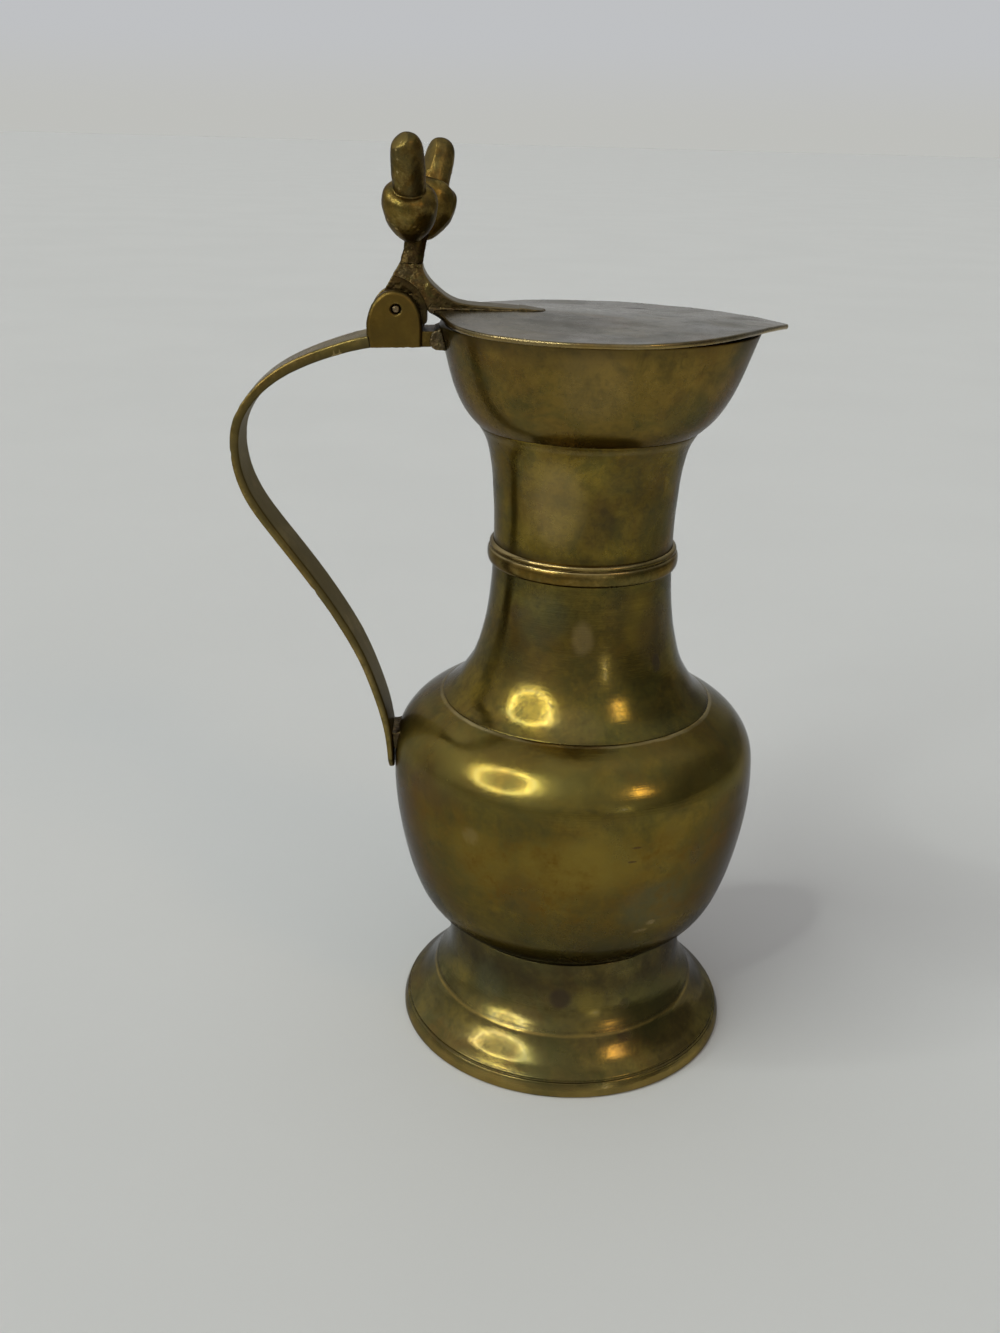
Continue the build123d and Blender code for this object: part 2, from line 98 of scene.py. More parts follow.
def rounded(parts, steps=4):
    """Closed outline from lines that follow each other. Each entry is (points, radius of the corner at its end)."""
    segs = [(np.array(s, float), r) for s, r in parts]
    out = []

    def cut(line, dist):
        """The line without its first dist millimetres."""
        d = np.sqrt(((line[1:] - line[:-1]) ** 2).sum(1))
        c = np.concatenate([[0], np.cumsum(d)])
        dist = min(dist, c[-1] * 0.49)
        i = int(np.searchsorted(c, dist, side="right") - 1)
        s = (dist - c[i]) / max(d[i], 1e-9)
        start = line[i] * (1 - s) + line[i + 1] * s
        return np.vstack([start, line[i + 1:]])

    n = len(segs)
    for i in range(n):
        line, r1 = segs[i]
        r0 = segs[i - 1][1]
        if r0 > 0:
            line = cut(line, r0)
        if r1 > 0:
            line = cut(line[::-1], r1)[::-1]
        out.append(line)
    pts = []
    for i in range(n):
        pts.extend(out[i])
        r = segs[i][1]
        a, b = out[i][-1], out[(i + 1) % n][0]
        corner = segs[i][0][-1]
        if r > 0:
            for k in range(1, steps):
                t = k / steps
                pts.append((1 - t) ** 2 * a + 2 * t * (1 - t) * corner + t * t * b)
    keep = [pts[0]]
    for q in pts[1:]:
        if np.hypot(*(q - keep[-1])) > 1e-3:
            keep.append(q)
    if np.hypot(*(keep[-1] - keep[0])) < 1e-3:
        keep.pop()
    return np.array(keep)


def waves(seed, scale, count=28, spread=0.55):
    """Smooth deterministic noise in space, about -1 to 1, with a typical feature size in millimetres."""
    g = np.random.RandomState(seed)
    k = g.normal(size=(count, 3))
    k /= np.linalg.norm(k, axis=1)[:, None]
    k *= (2 * math.pi / scale) * np.exp(g.normal(size=(count, 1)) * spread * 0.6)
    ph = g.uniform(0, 2 * math.pi, count)

    def f(p):
        p = np.atleast_2d(p)
        out = np.zeros(len(p))
        for i in range(0, len(p), 20000):
            out[i:i + 20000] = np.sin(p[i:i + 20000] @ k.T + ph).sum(1)
        return out / math.sqrt(count) * 0.9
    return f


def piece(name, verts, faces, body, nodes, smooth=True):
    """A mesh in millimetres becomes a piece of the object."""
    me = bpy.data.meshes.new(name)
    me.from_pydata([tuple(v) for v in np.asarray(verts) * MM], [], [tuple(int(i) for i in f) for f in faces])
    me.validate()
    me.update()
    if smooth:
        me.polygons.foreach_set("use_smooth", [True] * len(me.polygons))
    o = bpy.data.objects.new(name, me)
    scene.collection.objects.link(o)
    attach(o, body)
    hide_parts(*nodes)
    return o


def paint(o, values, name="worn"):
    """Stores one number for each vertex, which the materials read."""
    a = o.data.attributes.new(name, "FLOAT", "POINT")
    a.data.foreach_set("value", np.asarray(values, np.float32))


def loop_grid(rings, closed_v):
    """Quads between rings of equal length; closed_v joins the last ring to the first."""
    n, m = len(rings), len(rings[0])
    verts = np.concatenate(rings)
    i = np.arange(n if closed_v else n - 1)[:, None]
    j = np.arange(m)[None, :]
    a = i * m + j
    b = i * m + (j + 1) % m
    c = ((i + 1) % n) * m + (j + 1) % m
    d = ((i + 1) % n) * m + j
    return verts, np.stack([a, b, c, d], -1).reshape(-1, 4)


def resample(line, step, closed=True):
    """The outline with points added where they lie further apart than step."""
    p = np.vstack([line, line[:1]]) if closed else line
    out = []
    for a, b in zip(p[:-1], p[1:]):
        k = max(1, int(math.ceil(np.hypot(*(b - a)) / step)))
        for s in range(k):
            out.append(a + (b - a) * s / k)
    if not closed:
        out.append(p[-1])
    return np.array(out)


# small faults of hand work, shared by every spun piece, so that their joints still meet
_dents = [(-72, 60, 5.5, 0.16), (-48, 86, 7.0, 0.10), (35, 66, 6.0, 0.22), (118, 82, 7.5, 0.16), (-128, 70, 8.0, 0.10),
          (80, 150, 6.0, 0.12), (-30, 186, 7.0, 0.12), (150, 120, 6.0, 0.10), (20, 14, 5.0, 0.14), (-150, 10, 5.5, 0.12)]


def hand(theta, z):
    """Radial fault in millimetres at an angle and a height."""
    d = 0.07 * np.cos(2 * theta + 0.9 + z / 60.0) + 0.035 * np.cos(3 * theta - z / 23.0) + 0.02 * np.cos(5 * theta + z / 9.0)
    for a, h, w, depth in _dents:
        da = np.angle(np.exp(1j * (theta - math.radians(a)))) * 40.0
        d = d - depth * np.exp(-(da ** 2 + (z - h) ** 2) / w ** 2)
    return d


def lathe(name, outline, nodes, body="vessel", seg=320, extra=None, step=1.6, fault=True):
    """Revolves a closed outline of (radius, height). Points on the axis close to a single vertex."""
    line = resample(np.array(outline), step)
    th = np.arange(seg) * 2 * math.pi / seg
    rings, axis = [], []
    for r, z in line:
        rr = np.full(seg, r)
        if fault and r > 1.0:
            rr = rr + hand(th, z) * min(1.0, r / 20.0)
        if extra is not None:
            rr = rr + extra(th, r, z)
        rr = np.minimum(rr, 49.27)          # no fault stands proud of the widest girth
        axis.append(r < 1e-6)
        rings.append(np.stack([rr * np.cos(th), rr * np.sin(th), np.full(seg, z)], 1))
    verts, faces = loop_grid(rings, True)
    # rings on the axis fold into one vertex
    index = np.arange(len(verts))
    for i, on in enumerate(axis):
        if on:
            index[i * seg:(i + 1) * seg] = i * seg
    faces = index[faces]
    clean = []
    for f in faces:
        g = []
        for v in f:
            if v not in g:
                g.append(v)
        if len(g) > 2:
            clean.append(g)
    used = sorted({v for f in clean for v in f})
    back = {v: k for k, v in enumerate(used)}
    return piece(name, verts[used], [[back[v] for v in f][::-1] for f in clean], body, nodes)


def from_cad(name, node, body, voxel, soften=2, change=None, mask=None):
    """The CAD solid, remeshed evenly, softened and then worked like the casting it is."""
    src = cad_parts[node]
    me = src.data.copy()
    o = bpy.data.objects.new(name, me)
    scene.collection.objects.link(o)
    me.materials.clear()
    m = o.modifiers.new("even", "REMESH")
    m.mode, m.voxel_size, m.use_smooth_shade = "VOXEL", voxel * MM, True
    if soften:
        s = o.modifiers.new("soft", "SMOOTH")
        s.factor, s.iterations = 0.5, soften
    dg = bpy.context.evaluated_depsgraph_get()
    done = bpy.data.meshes.new_from_object(o.evaluated_get(dg))
    o.modifiers.clear()
    o.data = done
    done.name = name
    n = len(done.vertices)
    co, no = np.zeros(n * 3), np.zeros(n * 3)
    done.vertices.foreach_get("co", co)
    done.vertices.foreach_get("normal", no)
    co, no = co.reshape(-1, 3) / MM, no.reshape(-1, 3)
    if mask is not None:
        paint(o, mask(co, no))
    if change is not None:
        co = change(co, no)
        done.vertices.foreach_set("co", (co * MM).ravel())
        done.update()
    done.polygons.foreach_set("use_smooth", [True] * len(done.polygons))
    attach(o, body)
    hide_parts(node)
    return o


# ============================================================================ spun vessel
wall, foot_wall = 1.4, 1.5
foot_low = [(46.3, 2.6), (45.0, 4.85), (42.5, 6.75), (40.3, 9.1), (38.5, 11.6), (37.15, 14.1)]
foot_high = [(37.15, 14.1), (35.55, 16.3), (34.4, 18.6), (33.6, 21.2), (33.25, 24.0), (33.0, 28.0), (32.6, 32.8)]
belly_line = [(32.6, 32.8), (34.1, 34.5), (36.0, 35.9), (37.7, 37.2), (39.4, 38.9), (41.0, 41.1),
              (42.3, 43.4), (43.4, 45.9), (45.05, 50.6), (46.3, 55.2), (47.3, 59.8), (48.1, 64.4),
              (48.75, 69.0), (49.15, 73.6), (49.3, 78.2), (49.15, 82.8), (48.55, 87.4), (47.6, 90.0),
              (46.1, 92.4), (44.0, 94.8), (41.3, 96.9), (36.3, 100.0)]
neck_line = [(36.3, 100.0), (34.3, 101.6), (32.2, 103.7), (30.6, 106.0), (29.2, 108.2), (28.0, 110.6),
             (27.05, 113.2), (26.3, 116.0), (25.35, 120.0), (24.65, 124.2), (24.1, 129.0), (23.7, 134.5),
             (23.5, 140.0), (23.5, 146.0), (23.65, 151.5), (24.0, 156.5), (24.35, 161.0), (25.1, 165.6),
             (26.2, 169.6), (28.2, 173.2)]
bowl_levels = [(173.2, 28.2, 0.0), (175.6, 30.5, 0.5), (178.4, 32.4, 0.9), (181.7, 34.0, 1.3),
               (186.3, 35.5, 1.9), (191.5, 36.8, 2.5), (197.8, 38.2, 3.3)]


def offset(line, t):
    """The line moved by t towards the axis side, along its normal."""
    p = np.array(line, float)
    g = np.gradient(p, axis=0)
    g /= np.linalg.norm(g, axis=1)[:, None]
    return np.stack([p[:, 0] - t * g[:, 1], p[:, 1] + t * g[:, 0]], 1)


def groove(line, at, depth, width, lip=0.0):
    """Presses a scribed line into a smooth wall line at one height, with a raised edge beside it."""
    p = resample(np.array(line, float), 0.12, closed=False)
    g = np.gradient(p, axis=0)
    g /= np.linalg.norm(g, axis=1)[:, None]
    i = int(np.argmin(np.hypot(p[:, 0] - at[0], p[:, 1] - at[1])))
    s = np.concatenate([[0], np.cumsum(np.hypot(*(p[1:] - p[:-1]).T))])
    s -= s[i]
    d = depth * np.exp(-(s / width) ** 2) - lip * np.exp(-((np.abs(s) - 2.0 * width) / width) ** 2)
    out = np.stack([p[:, 0] - d * g[:, 1], p[:, 1] + d * g[:, 0]], 1)
    keep = [0]
    for k in range(1, len(out) - 1):
        near = abs(s[k]) < 4 * width
        if near or s[k] - s[keep[-1]] > 0.8:
            keep.append(k)
    keep.append(len(out) - 1)
    return out[keep]


fine_foot = np.vstack([spline(foot_low, 10)[:-1], spline(foot_high, 10)])
outer = groove(fine_foot, (37.15, 14.1), 0.24, 0.30, 0.05)
outer = groove(outer, (45.15, 4.35), 0.26, 0.30, 0.06)
foot_in = offset(fine_foot[::4], foot_wall)
foot_in[-1] = (31.2, 32.75)
foot_rim = spline([(45.95, 0.0), (46.45, 0.35), (46.6, 1.2), (46.5, 2.0), (46.3, 2.6)], 4)
o_foot = lathe("foot_spun", rounded([
    (foot_rim, 0.0), (outer, 0.25), ([(32.6, 32.75), (31.2, 32.75)], 0.2), (foot_in[::-1], 0.2),
    ([foot_in[0], (44.9, 0.0)], 0.15), ([(44.9, 0.0), (45.95, 0.0)], 0.0)]), ["foot"])

fine_belly = spline(belly_line, 10)
belly_in = offset(fine_belly[::5], wall)
belly_in = belly_in[belly_in[:, 1] > 35.6]
belly_in = np.vstack([spline([(31.2, 34.4), (33.2, 35.2), tuple(belly_in[1])], 4)[:-1], belly_in[1:]])
belly_in[-1] = (belly_in[-1][0], 100.0)
rim_r = belly_in[-1][0]
o_belly = lathe("belly_spun", rounded([
    ([(0, 32.8), (16, 32.8), (32.6, 32.8)], 0.3), (fine_belly[:-1], 0.0), ([fine_belly[-2], (36.3, 100.0)], 0.38),
    ([(36.3, 100.0), (rim_r, 100.0)], 0.1), (belly_in[::-1], 0.0), ([belly_in[0], (16, 34.4), (0, 34.4)], 0.0),
    ([(0, 34.4), (0, 32.8)], 0.0)]), ["belly"])

fine_neck = spline(neck_line, 10)
low = fine_neck[fine_neck[:, 1] <= 140.0]
high = fine_neck[fine_neck[:, 1] >= 140.0]
low_in, high_in = offset(low[::5], wall), offset(high[::5], wall)
low_in[0], low_in[-1] = (rim_r, 100.0), (23.5 - wall, 140.0)
high_in[0], high_in[-1] = (23.5 - wall, 140.0), (high_in[-1][0], 173.2)
o_shoulder = lathe("shoulder_spun", rounded([
    (low, 0.0), ([(23.5, 140.0), (23.5 - wall, 140.0)], 0.0), (low_in[::-1], 0.1),
    ([(rim_r, 100.0), (36.3, 100.0)], 0.42)]), ["shoulder"])
o_neck = lathe("neck_spun", rounded([
    (high, 0.28), ([(28.2, 173.2), high_in[-1]], 0.0), (high_in[::-1], 0.0),
    ([high_in[0], (23.5, 140.0)], 0.0)]), ["neck_upper"])

collar = spline([(23.62, 137.15), (24.45, 137.45), (24.95, 138.3), (25.1, 139.4), (24.98, 140.5), (24.7, 141.25)], 6)
o_ring = lathe("neck_collar", rounded([
    (collar, 0.1), ([(24.7, 141.25), (24.28, 141.5)], 0.12),
    (spline([(24.28, 141.5), (24.55, 141.85), (24.5, 142.35), (23.66, 142.95)], 5), 0.1),
    ([(23.66, 142.95), (23.2, 142.8)], 0.1), ([(23.2, 142.8), (23.2, 137.3)], 0.1),
    ([(23.2, 137.3), (23.62, 137.15)], 0.08)]), ["neck_ring"])

lv = np.array(bowl_levels)
fine_bowl = spline(lv[:, [1, 0]], 8)
draw_at = spline(lv[:, [2, 0]], 8)


def lip(th, r, z):
    d = np.degrees(np.angle(np.exp(1j * th)))
    return np.interp(z, draw_at[:, 1], draw_at[:, 0]) * np.exp(-(d / 38.0) ** 2)


bowl_in = offset(fine_bowl[::2], wall)
bowl_in[0], bowl_in[-1] = (high_in[-1][0], 173.2), (bowl_in[-1][0], 197.8)
o_bowl = lathe("mouth_spun", rounded([
    (fine_bowl, 0.4), ([(38.2, 197.8), bowl_in[-1]], 0.35), (bowl_in[::-1], 0.0),
    ([bowl_in[0], (28.2, 173.2)], 0.3)]), ["mouth_bowl"], extra=lip)

lump = waves(11, 9.0)


def solder_ring(th, r, z):
    p = np.stack([40 * np.cos(th), 40 * np.sin(th), np.full(len(th), z * 3.0)], 1)
    return (0.28 * lump(p)) * (1.0 if r < 31.0 else 0.0)


o_fsolder = lathe("foot_solder_run", rounded([
    ([(28.8, 32.72), (31.1, 32.72)], 0.05), ([(31.1, 32.72), (31.35, 29.8)], 0.2),
    (spline([(31.35, 29.8), (30.5, 30.9), (29.5, 32.0), (28.8, 32.72)], 4), 0.1)]),
    ["foot_solder"], extra=solder_ring, step=0.7, fault=False)

# ============================================================================ handle
strap_outer = [(-55.2, 194.95), (-58.6, 194.2), (-62.8, 192.95), (-69.4, 190.6), (-75.8, 187.6), (-81.6, 183.6),
               (-86.3, 178.6), (-89.3, 172.8), (-90.1, 166.5), (-89.2, 159.8), (-86.7, 153.4), (-83.0, 147.5),
               (-79.0, 142.0), (-74.9, 136.5), (-70.9, 130.9), (-67.1, 125.3), (-63.5, 119.5), (-60.2, 113.6),
               (-57.4, 107.5), (-55.1, 101.3), (-53.1, 94.9), (-51.7, 88.2), (-51.0, 81.6), (-50.6, 77.2)]
strap_depth = [2.9, 2.85, 2.75, 2.6, 2.5, 2.45, 2.4, 2.35, 2.3, 2.25, 2.2, 2.15, 2.1, 2.1, 2.1, 2.1, 2.1, 2.1,
               2.05, 2.0, 1.95, 1.85, 1.6, 1.15]
strap_half = 7.2
line = spline(strap_outer, 14)
depth = np.interp(np.linspace(0, 23, len(line)), range(24), strap_depth)
g = np.gradient(line, axis=0)
g /= np.linalg.norm(g, axis=1)[:, None]
inward = np.stack([-g[:, 1], g[:, 0]], 1)
file_marks, waver = waves(21, 3.2), waves(22, 26.0)
rings = []
corner = []
for k in range(5):                      # rounded corners of the strap's section
    a = k / 4 * math.pi / 2
    corner.append((1 - math.cos(a), 1 - math.sin(a)))
for i in range(len(line)):
    t = depth[i]
    c0 = 0.55
    down = max(0.0, 85.03 - line[i][1])                # tongue-shaped foot of the strap
    half = min(strap_half, math.sqrt(max(0.0, 8.13 ** 2 - down ** 2)))
    half = max(half, 1.0)
    sect = []
    # starts at the near outer corner and goes round: outer face, far side, inner face, near side
    ys = np.linspace(-half + c0, half - c0, 15)
    sect += [(-half + c0 * u, c0 * v, 1) for u, v in corner]
    sect += [(y, 0.0, 1) for y in ys[1:-1]]
    sect += [(half - c0 * u, c0 * v, 1) for u, v in corner[::-1]]
    sect += [(half - c0 * u, t - c0 * v, 1) for u, v in corner]
    sect += [(y, t, 1) for y in ys[::-1][1:-1]]
    sect += [(-half + c0 * u, t - c0 * v, 1) for u, v in corner[::-1]]
    ring = []
    for y, dep, _ in sect:
        x, z = line[i] + inward[i] * dep
        ring.append((x, y, z))
    rings.append(np.array(ring))
verts, faces = loop_grid(rings, False)
m = len(rings[0])
faces = [list(f) for f in faces] + [list(range(m))[::-1], list(range(len(verts) - m, len(verts)))]
q = verts.copy()
mid = np.repeat(line, m, axis=0)
away = verts - np.stack([mid[:, 0], np.zeros(len(mid)), mid[:, 1]], 1)
verts[:, 1] += 0.10 * waver(q) * np.sign(q[:, 1]) * (np.abs(q[:, 1]) > 5)
verts[:, 1] *= 1 + 0.035 * np.clip((112 - q[:, 2]) / 12.0, 0, 1) * (q[:, 2] < 112)
nrm = np.repeat(inward, m, axis=0)
dep = (away[:, [0, 2]] * nrm).sum(1)
sgn = np.where(dep > 0.8, 1.0, -1.0)
amount = (0.05 * waver(q) + 0.014 * file_marks(q * np.array([1.0, 0.45, 1.0])))
for (px, pz, sy, w, dd) in [(-85.0, 181.0, -5.8, 1.0, 0.35), (-86.6, 179.3, -6.3, 0.7, 0.3), (-87.9, 176.4, -6.1, 0.8, 0.28),
                            (-89.9, 165.2, -6.4, 0.8, 0.25), (-83.8, 182.0, -6.5, 0.6, 0.25), (-70, 129.5, -6.7, 0.7, 0.2)]:
    amount -= dd * np.exp(-((q[:, 0] - px) ** 2 + (q[:, 2] - pz) ** 2 + (q[:, 1] - sy) ** 2) / w ** 2)
verts[:, 0] += sgn * nrm[:, 0] * amount
verts[:, 2] += sgn * nrm[:, 1] * amount
o_strap = piece("handle_bar", verts, [f[::-1] for f in faces], "vessel", ["handle_strap"])
# painted shade: the inner face of the strap and the inner halves of its sides, turned away from the lamps, are marked 1
# for a darker colour
paint(o_strap, np.clip((dep - 0.9) / 0.5, 0, 1))

# ============================================================================ lid plate
lid_radius, lid_tip, lid_thick, lid_under = 41.0, 49.1, 1.3, 197.85
outline = []
for a in [0, 5, 11, 18, 27, 38, 50, 65, 80, 100, 120, 140, 152, 162, 171, 180,
          189, 198, 208, 220, 240, 260, 280, 295, 310, 322, 333, 342, 349, 355]:
    d = min(a, 360 - a)
    if d <= 38:
        r = lid_radius + (lid_tip - lid_radius) * (1 - d / 38.0) ** 2.2
        if a > 180:
            r -= 0.5 * math.sin(math.pi * d / 38.0)
    elif d < 145:
        r = lid_radius
    else:
        r = lid_radius - 1.9 * math.sin(math.pi * (d - 145) / 35.0)
    t = math.radians(a + 3.0 * max(0.0, 1 - d / 90.0))
    outline.append((r * math.cos(t), r * math.sin(t)))
# the outline starts and ends at the point, where it has a real corner
edge = spline(outline + [outline[0]], 12)[:-1]


def rise(x, y):
    w = 1.0 - 0.85 * np.clip((x + 20.0) / 62.0, 0.0, 1.0)
    near = np.degrees(np.arctan2(y, x))
    lift = 0.75 * np.exp(-((near + 38.0) / 24.0) ** 2) * np.minimum(np.hypot(x, y) / lid_radius, 1.2) ** 2
    droop = 0.7 * np.maximum(0.0, (x - 42.0) / 7.0) ** 1.3
    return 2.3 * w * np.exp(-(y / 20.0) ** 2) + lift - droop


hammer, buckle = waves(31, 17.0), waves(32, 38.0)


def lid_z(x, y):
    p = np.stack([x, y, np.zeros(len(x))], 1)
    return rise(x, y) + 0.05 * hammer(p) + 0.09 * buckle(p)


steps = [0.0] + list(np.linspace(0.03, 0.97, 46))
rings = []
for s in steps[1:]:
    x, y = edge[:, 0] * s, edge[:, 1] * s
    rings.append(np.stack([x, y, lid_under + lid_thick + lid_z(x, y)], 1))
rim_n = np.gradient(np.vstack([edge[-1:], edge, edge[:1]]), axis=0)[1:-1]
rim_n /= np.linalg.norm(rim_n, axis=1)[:, None]
rim_n = np.stack([rim_n[:, 1], -rim_n[:, 0]], 1)
z_edge = lid_z(edge[:, 0], edge[:, 1])
for back, up in [(0.60, 1.0), (0.42, 0.99), (0.22, 0.93), (0.08, 0.82), (0.0, 0.62), (0.0, 0.38), (0.08, 0.18), (0.22, 0.06),
                 (0.42, 0.01), (0.60, 0.0)]:
    x, y = edge[:, 0] - rim_n[:, 0] * back, edge[:, 1] - rim_n[:, 1] * back
    rings.append(np.stack([x, y, lid_under + lid_thick * up + z_edge], 1))
for s in steps[:0:-1]:
    x, y = edge[:, 0] * s, edge[:, 1] * s
    rings.append(np.stack([x, y, lid_under + lid_z(x, y)], 1))
verts, faces = loop_grid(rings, False)
m = len(edge)
top_c, low_c = len(verts), len(verts) + 1
cz = lid_z(np.zeros(1), np.zeros(1))[0]
verts = np.vstack([verts, [(0, 0, lid_under + lid_thick + cz), (0, 0, lid_under + cz)]])
faces = [list(f) for f in faces]
faces += [[top_c, (j + 1) % m, j] for j in range(m)]
last = (len(rings) - 1) * m
faces += [[low_c, last + j, last + (j + 1) % m] for j in range(m)]
o_lid = piece("lid_sheet", verts, [f[::-1] for f in faces], "lid", ["lid_plate"])

# ============================================================================ cast pieces
rough_a, rough_b, rough_c = waves(41, 2.2, 40), waves(42, 0.9, 40), waves(43, 6.0, 30)


def cast(amount_a, amount_b, pits=0.0, where=None, shape=None):
    def f(co, no):
        a = amount_a * rough_a(co) + amount_b * rough_b(co)
        if pits:
            p = rough_b(co * 0.8 + 40.0)
            a = a - pits * np.clip(p - 0.75, 0, 1)
        if where is not None:
            a = a * where(co)
        if shape is not None:
            a = a + shape(co, no)
        return co + no * a[:, None]
    return f


def fork_faces(co):
    """The filed faces of the ears stay flatter than the base and the lug."""
    flat = np.clip((np.abs(co[:, 1]) - 6.2) / 0.8, 0, 1) * np.clip((co[:, 2] - 192.5) / 1.0, 0, 1)
    return 1.0 - 0.8 * flat


def fork_mask(co, no):
    """1 on the flat faces of the ears, 0 on the rounded edges, the base and the slot."""
    return np.clip((np.abs(no[:, 1]) - 0.80) / 0.15, 0, 1) * np.clip((np.abs(co[:, 1]) - 6.3) / 0.6, 0, 1)


o_fork = from_cad("hinge_ears", "hinge_fork", "vessel", 0.13, 3, cast(0.045, 0.018, 0.06, fork_faces), fork_mask)
o_rim = from_cad("rim_solder_lump", "rim_solder", "vessel", 0.13, 6, cast(0.07, 0.05, 0.08))
o_hsolder = from_cad("handle_solder_run", "handle_solder", "vessel", 0.15, 3, cast(0.05, 0.04))


def tongue_top(co, no):
    """1 on the rubbed upper face of the tongue, 0 on its sides and round the knuckle."""
    up = np.clip((no[:, 2] + 0.55 * no[:, 0] - 0.42) / 0.22, 0, 1)
    up = up * np.clip((co[:, 0] + 43.5) / 1.5, 0, 1) * np.clip((4.6 - np.abs(co[:, 1])) / 0.5, 0, 1)
    return np.maximum(up, np.clip((co[:, 0] + 31.0) / 5.0, 0, 1))


def tongue_rough(co):
    """Rough on the sides, under the lug and round the knuckle, rubbed smooth on top."""
    side = np.clip((np.abs(co[:, 1]) - 4.5) / 0.4, 0, 1)
    back = np.clip((-41.5 - co[:, 0]) / 2.5, 0, 1)
    return np.clip(0.12 + side + back, 0, 1)


def tongue_edge(co, no):
    """The upper edge is filed to a bevel that fades out towards the lip."""
    y = np.abs(co[:, 1])
    up = np.clip(no[:, 2] + 0.5 * no[:, 0], 0, 1)
    return -0.38 * np.clip((y - 3.5) / 1.5, 0, 1) ** 1.6 * up * np.clip((-20 - co[:, 0]) / 8, 0, 1)


o_tongue = from_cad("lid_tongue", "lid_strap", "lid", 0.14, 4,
                    cast(0.07, 0.035, 0.14, tongue_rough, tongue_edge), tongue_top)
o_lsolder = from_cad("lid_solder_run", "lid_solder", "lid", 0.11, 2, cast(0.05, 0.035))

# pin with a worn, slightly domed end
pin_line = rounded([(([(0, -7.05), (0.45, -7.03), (0.72, -6.95)]), 0.0), ([(0.72, -6.95), (0.88, -6.7)], 0.12),
                    ([(0.88, -6.7), (0.90, -6.25)], 0.1), ([(0.90, -6.25), (1.2, -6.0)], 0.1),
                    ([(1.2, -6.0), (1.2, 6.0)], 0.1), ([(1.2, 6.0), (0.90, 6.25)], 0.1), ([(0.90, 6.25), (0.88, 6.7)], 0.1),
                    ([(0.88, 6.7), (0.72, 6.95)], 0.12),
                    ([(0.72, 6.95), (0.45, 7.03), (0, 7.05)], 0.0), ([(0, 7.05), (0, -7.05)], 0.0)])
o_pin = lathe("pin", pin_line, ["hinge_pin"], seg=48, step=0.5, fault=False)
co = np.zeros(len(o_pin.data.vertices) * 3)
o_pin.data.vertices.foreach_get("co", co)
co = co.reshape(-1, 3)
pin_rough = waves(44, 0.9)
amt = 0.03 * pin_rough(co / MM) * (np.abs(co[:, 2] / MM) > 6.6)
co = np.stack([-0.0485 + co[:, 0], -(co[:, 2] + np.sign(co[:, 2]) * amt * MM), 0.2014 + co[:, 1]], 1)
o_pin.data.vertices.foreach_set("co", co.ravel())
o_pin.data.update()

# ============================================================================ thumbpiece
tilt, twist, tilt_twist, lean, half_gap = 31.0, 17.0, 12.0, 5.3, 6.45
cup_line = [(0, -8.0), (1.6, -7.5), (3.2, -6.2), (4.7, -4.2), (5.85, -1.8), (6.45, 0.6), (6.62, 2.4), (6.4, 3.8)]
cup_top = [(6.4, 3.8), (5.9, 4.9), (5.0, 5.6), (3.8, 5.9)]
nut_line = {-1: [(3.8, 5.9), (3.9, 8.0), (3.92, 12.0), (3.78, 15.2), (3.25, 17.6), (2.15, 19.1), (0, 19.6)],
            1: [(3.8, 5.9), (3.77, 8.0), (3.75, 11.0), (3.65, 14.0), (3.2, 16.3), (2.1, 17.9), (0, 18.5)]}
# flats worn on the nuts: direction, distance from the middle of the rounded end, and how fully they are worn
flats = {-1: [((-0.55, -0.50, 0.67), 3.15, 0.65), ((0.92, -0.38, 0.1), 3.68, 0.5)],
         1: [((-0.75, -0.45, 0.48), 2.85, 0.75)]}


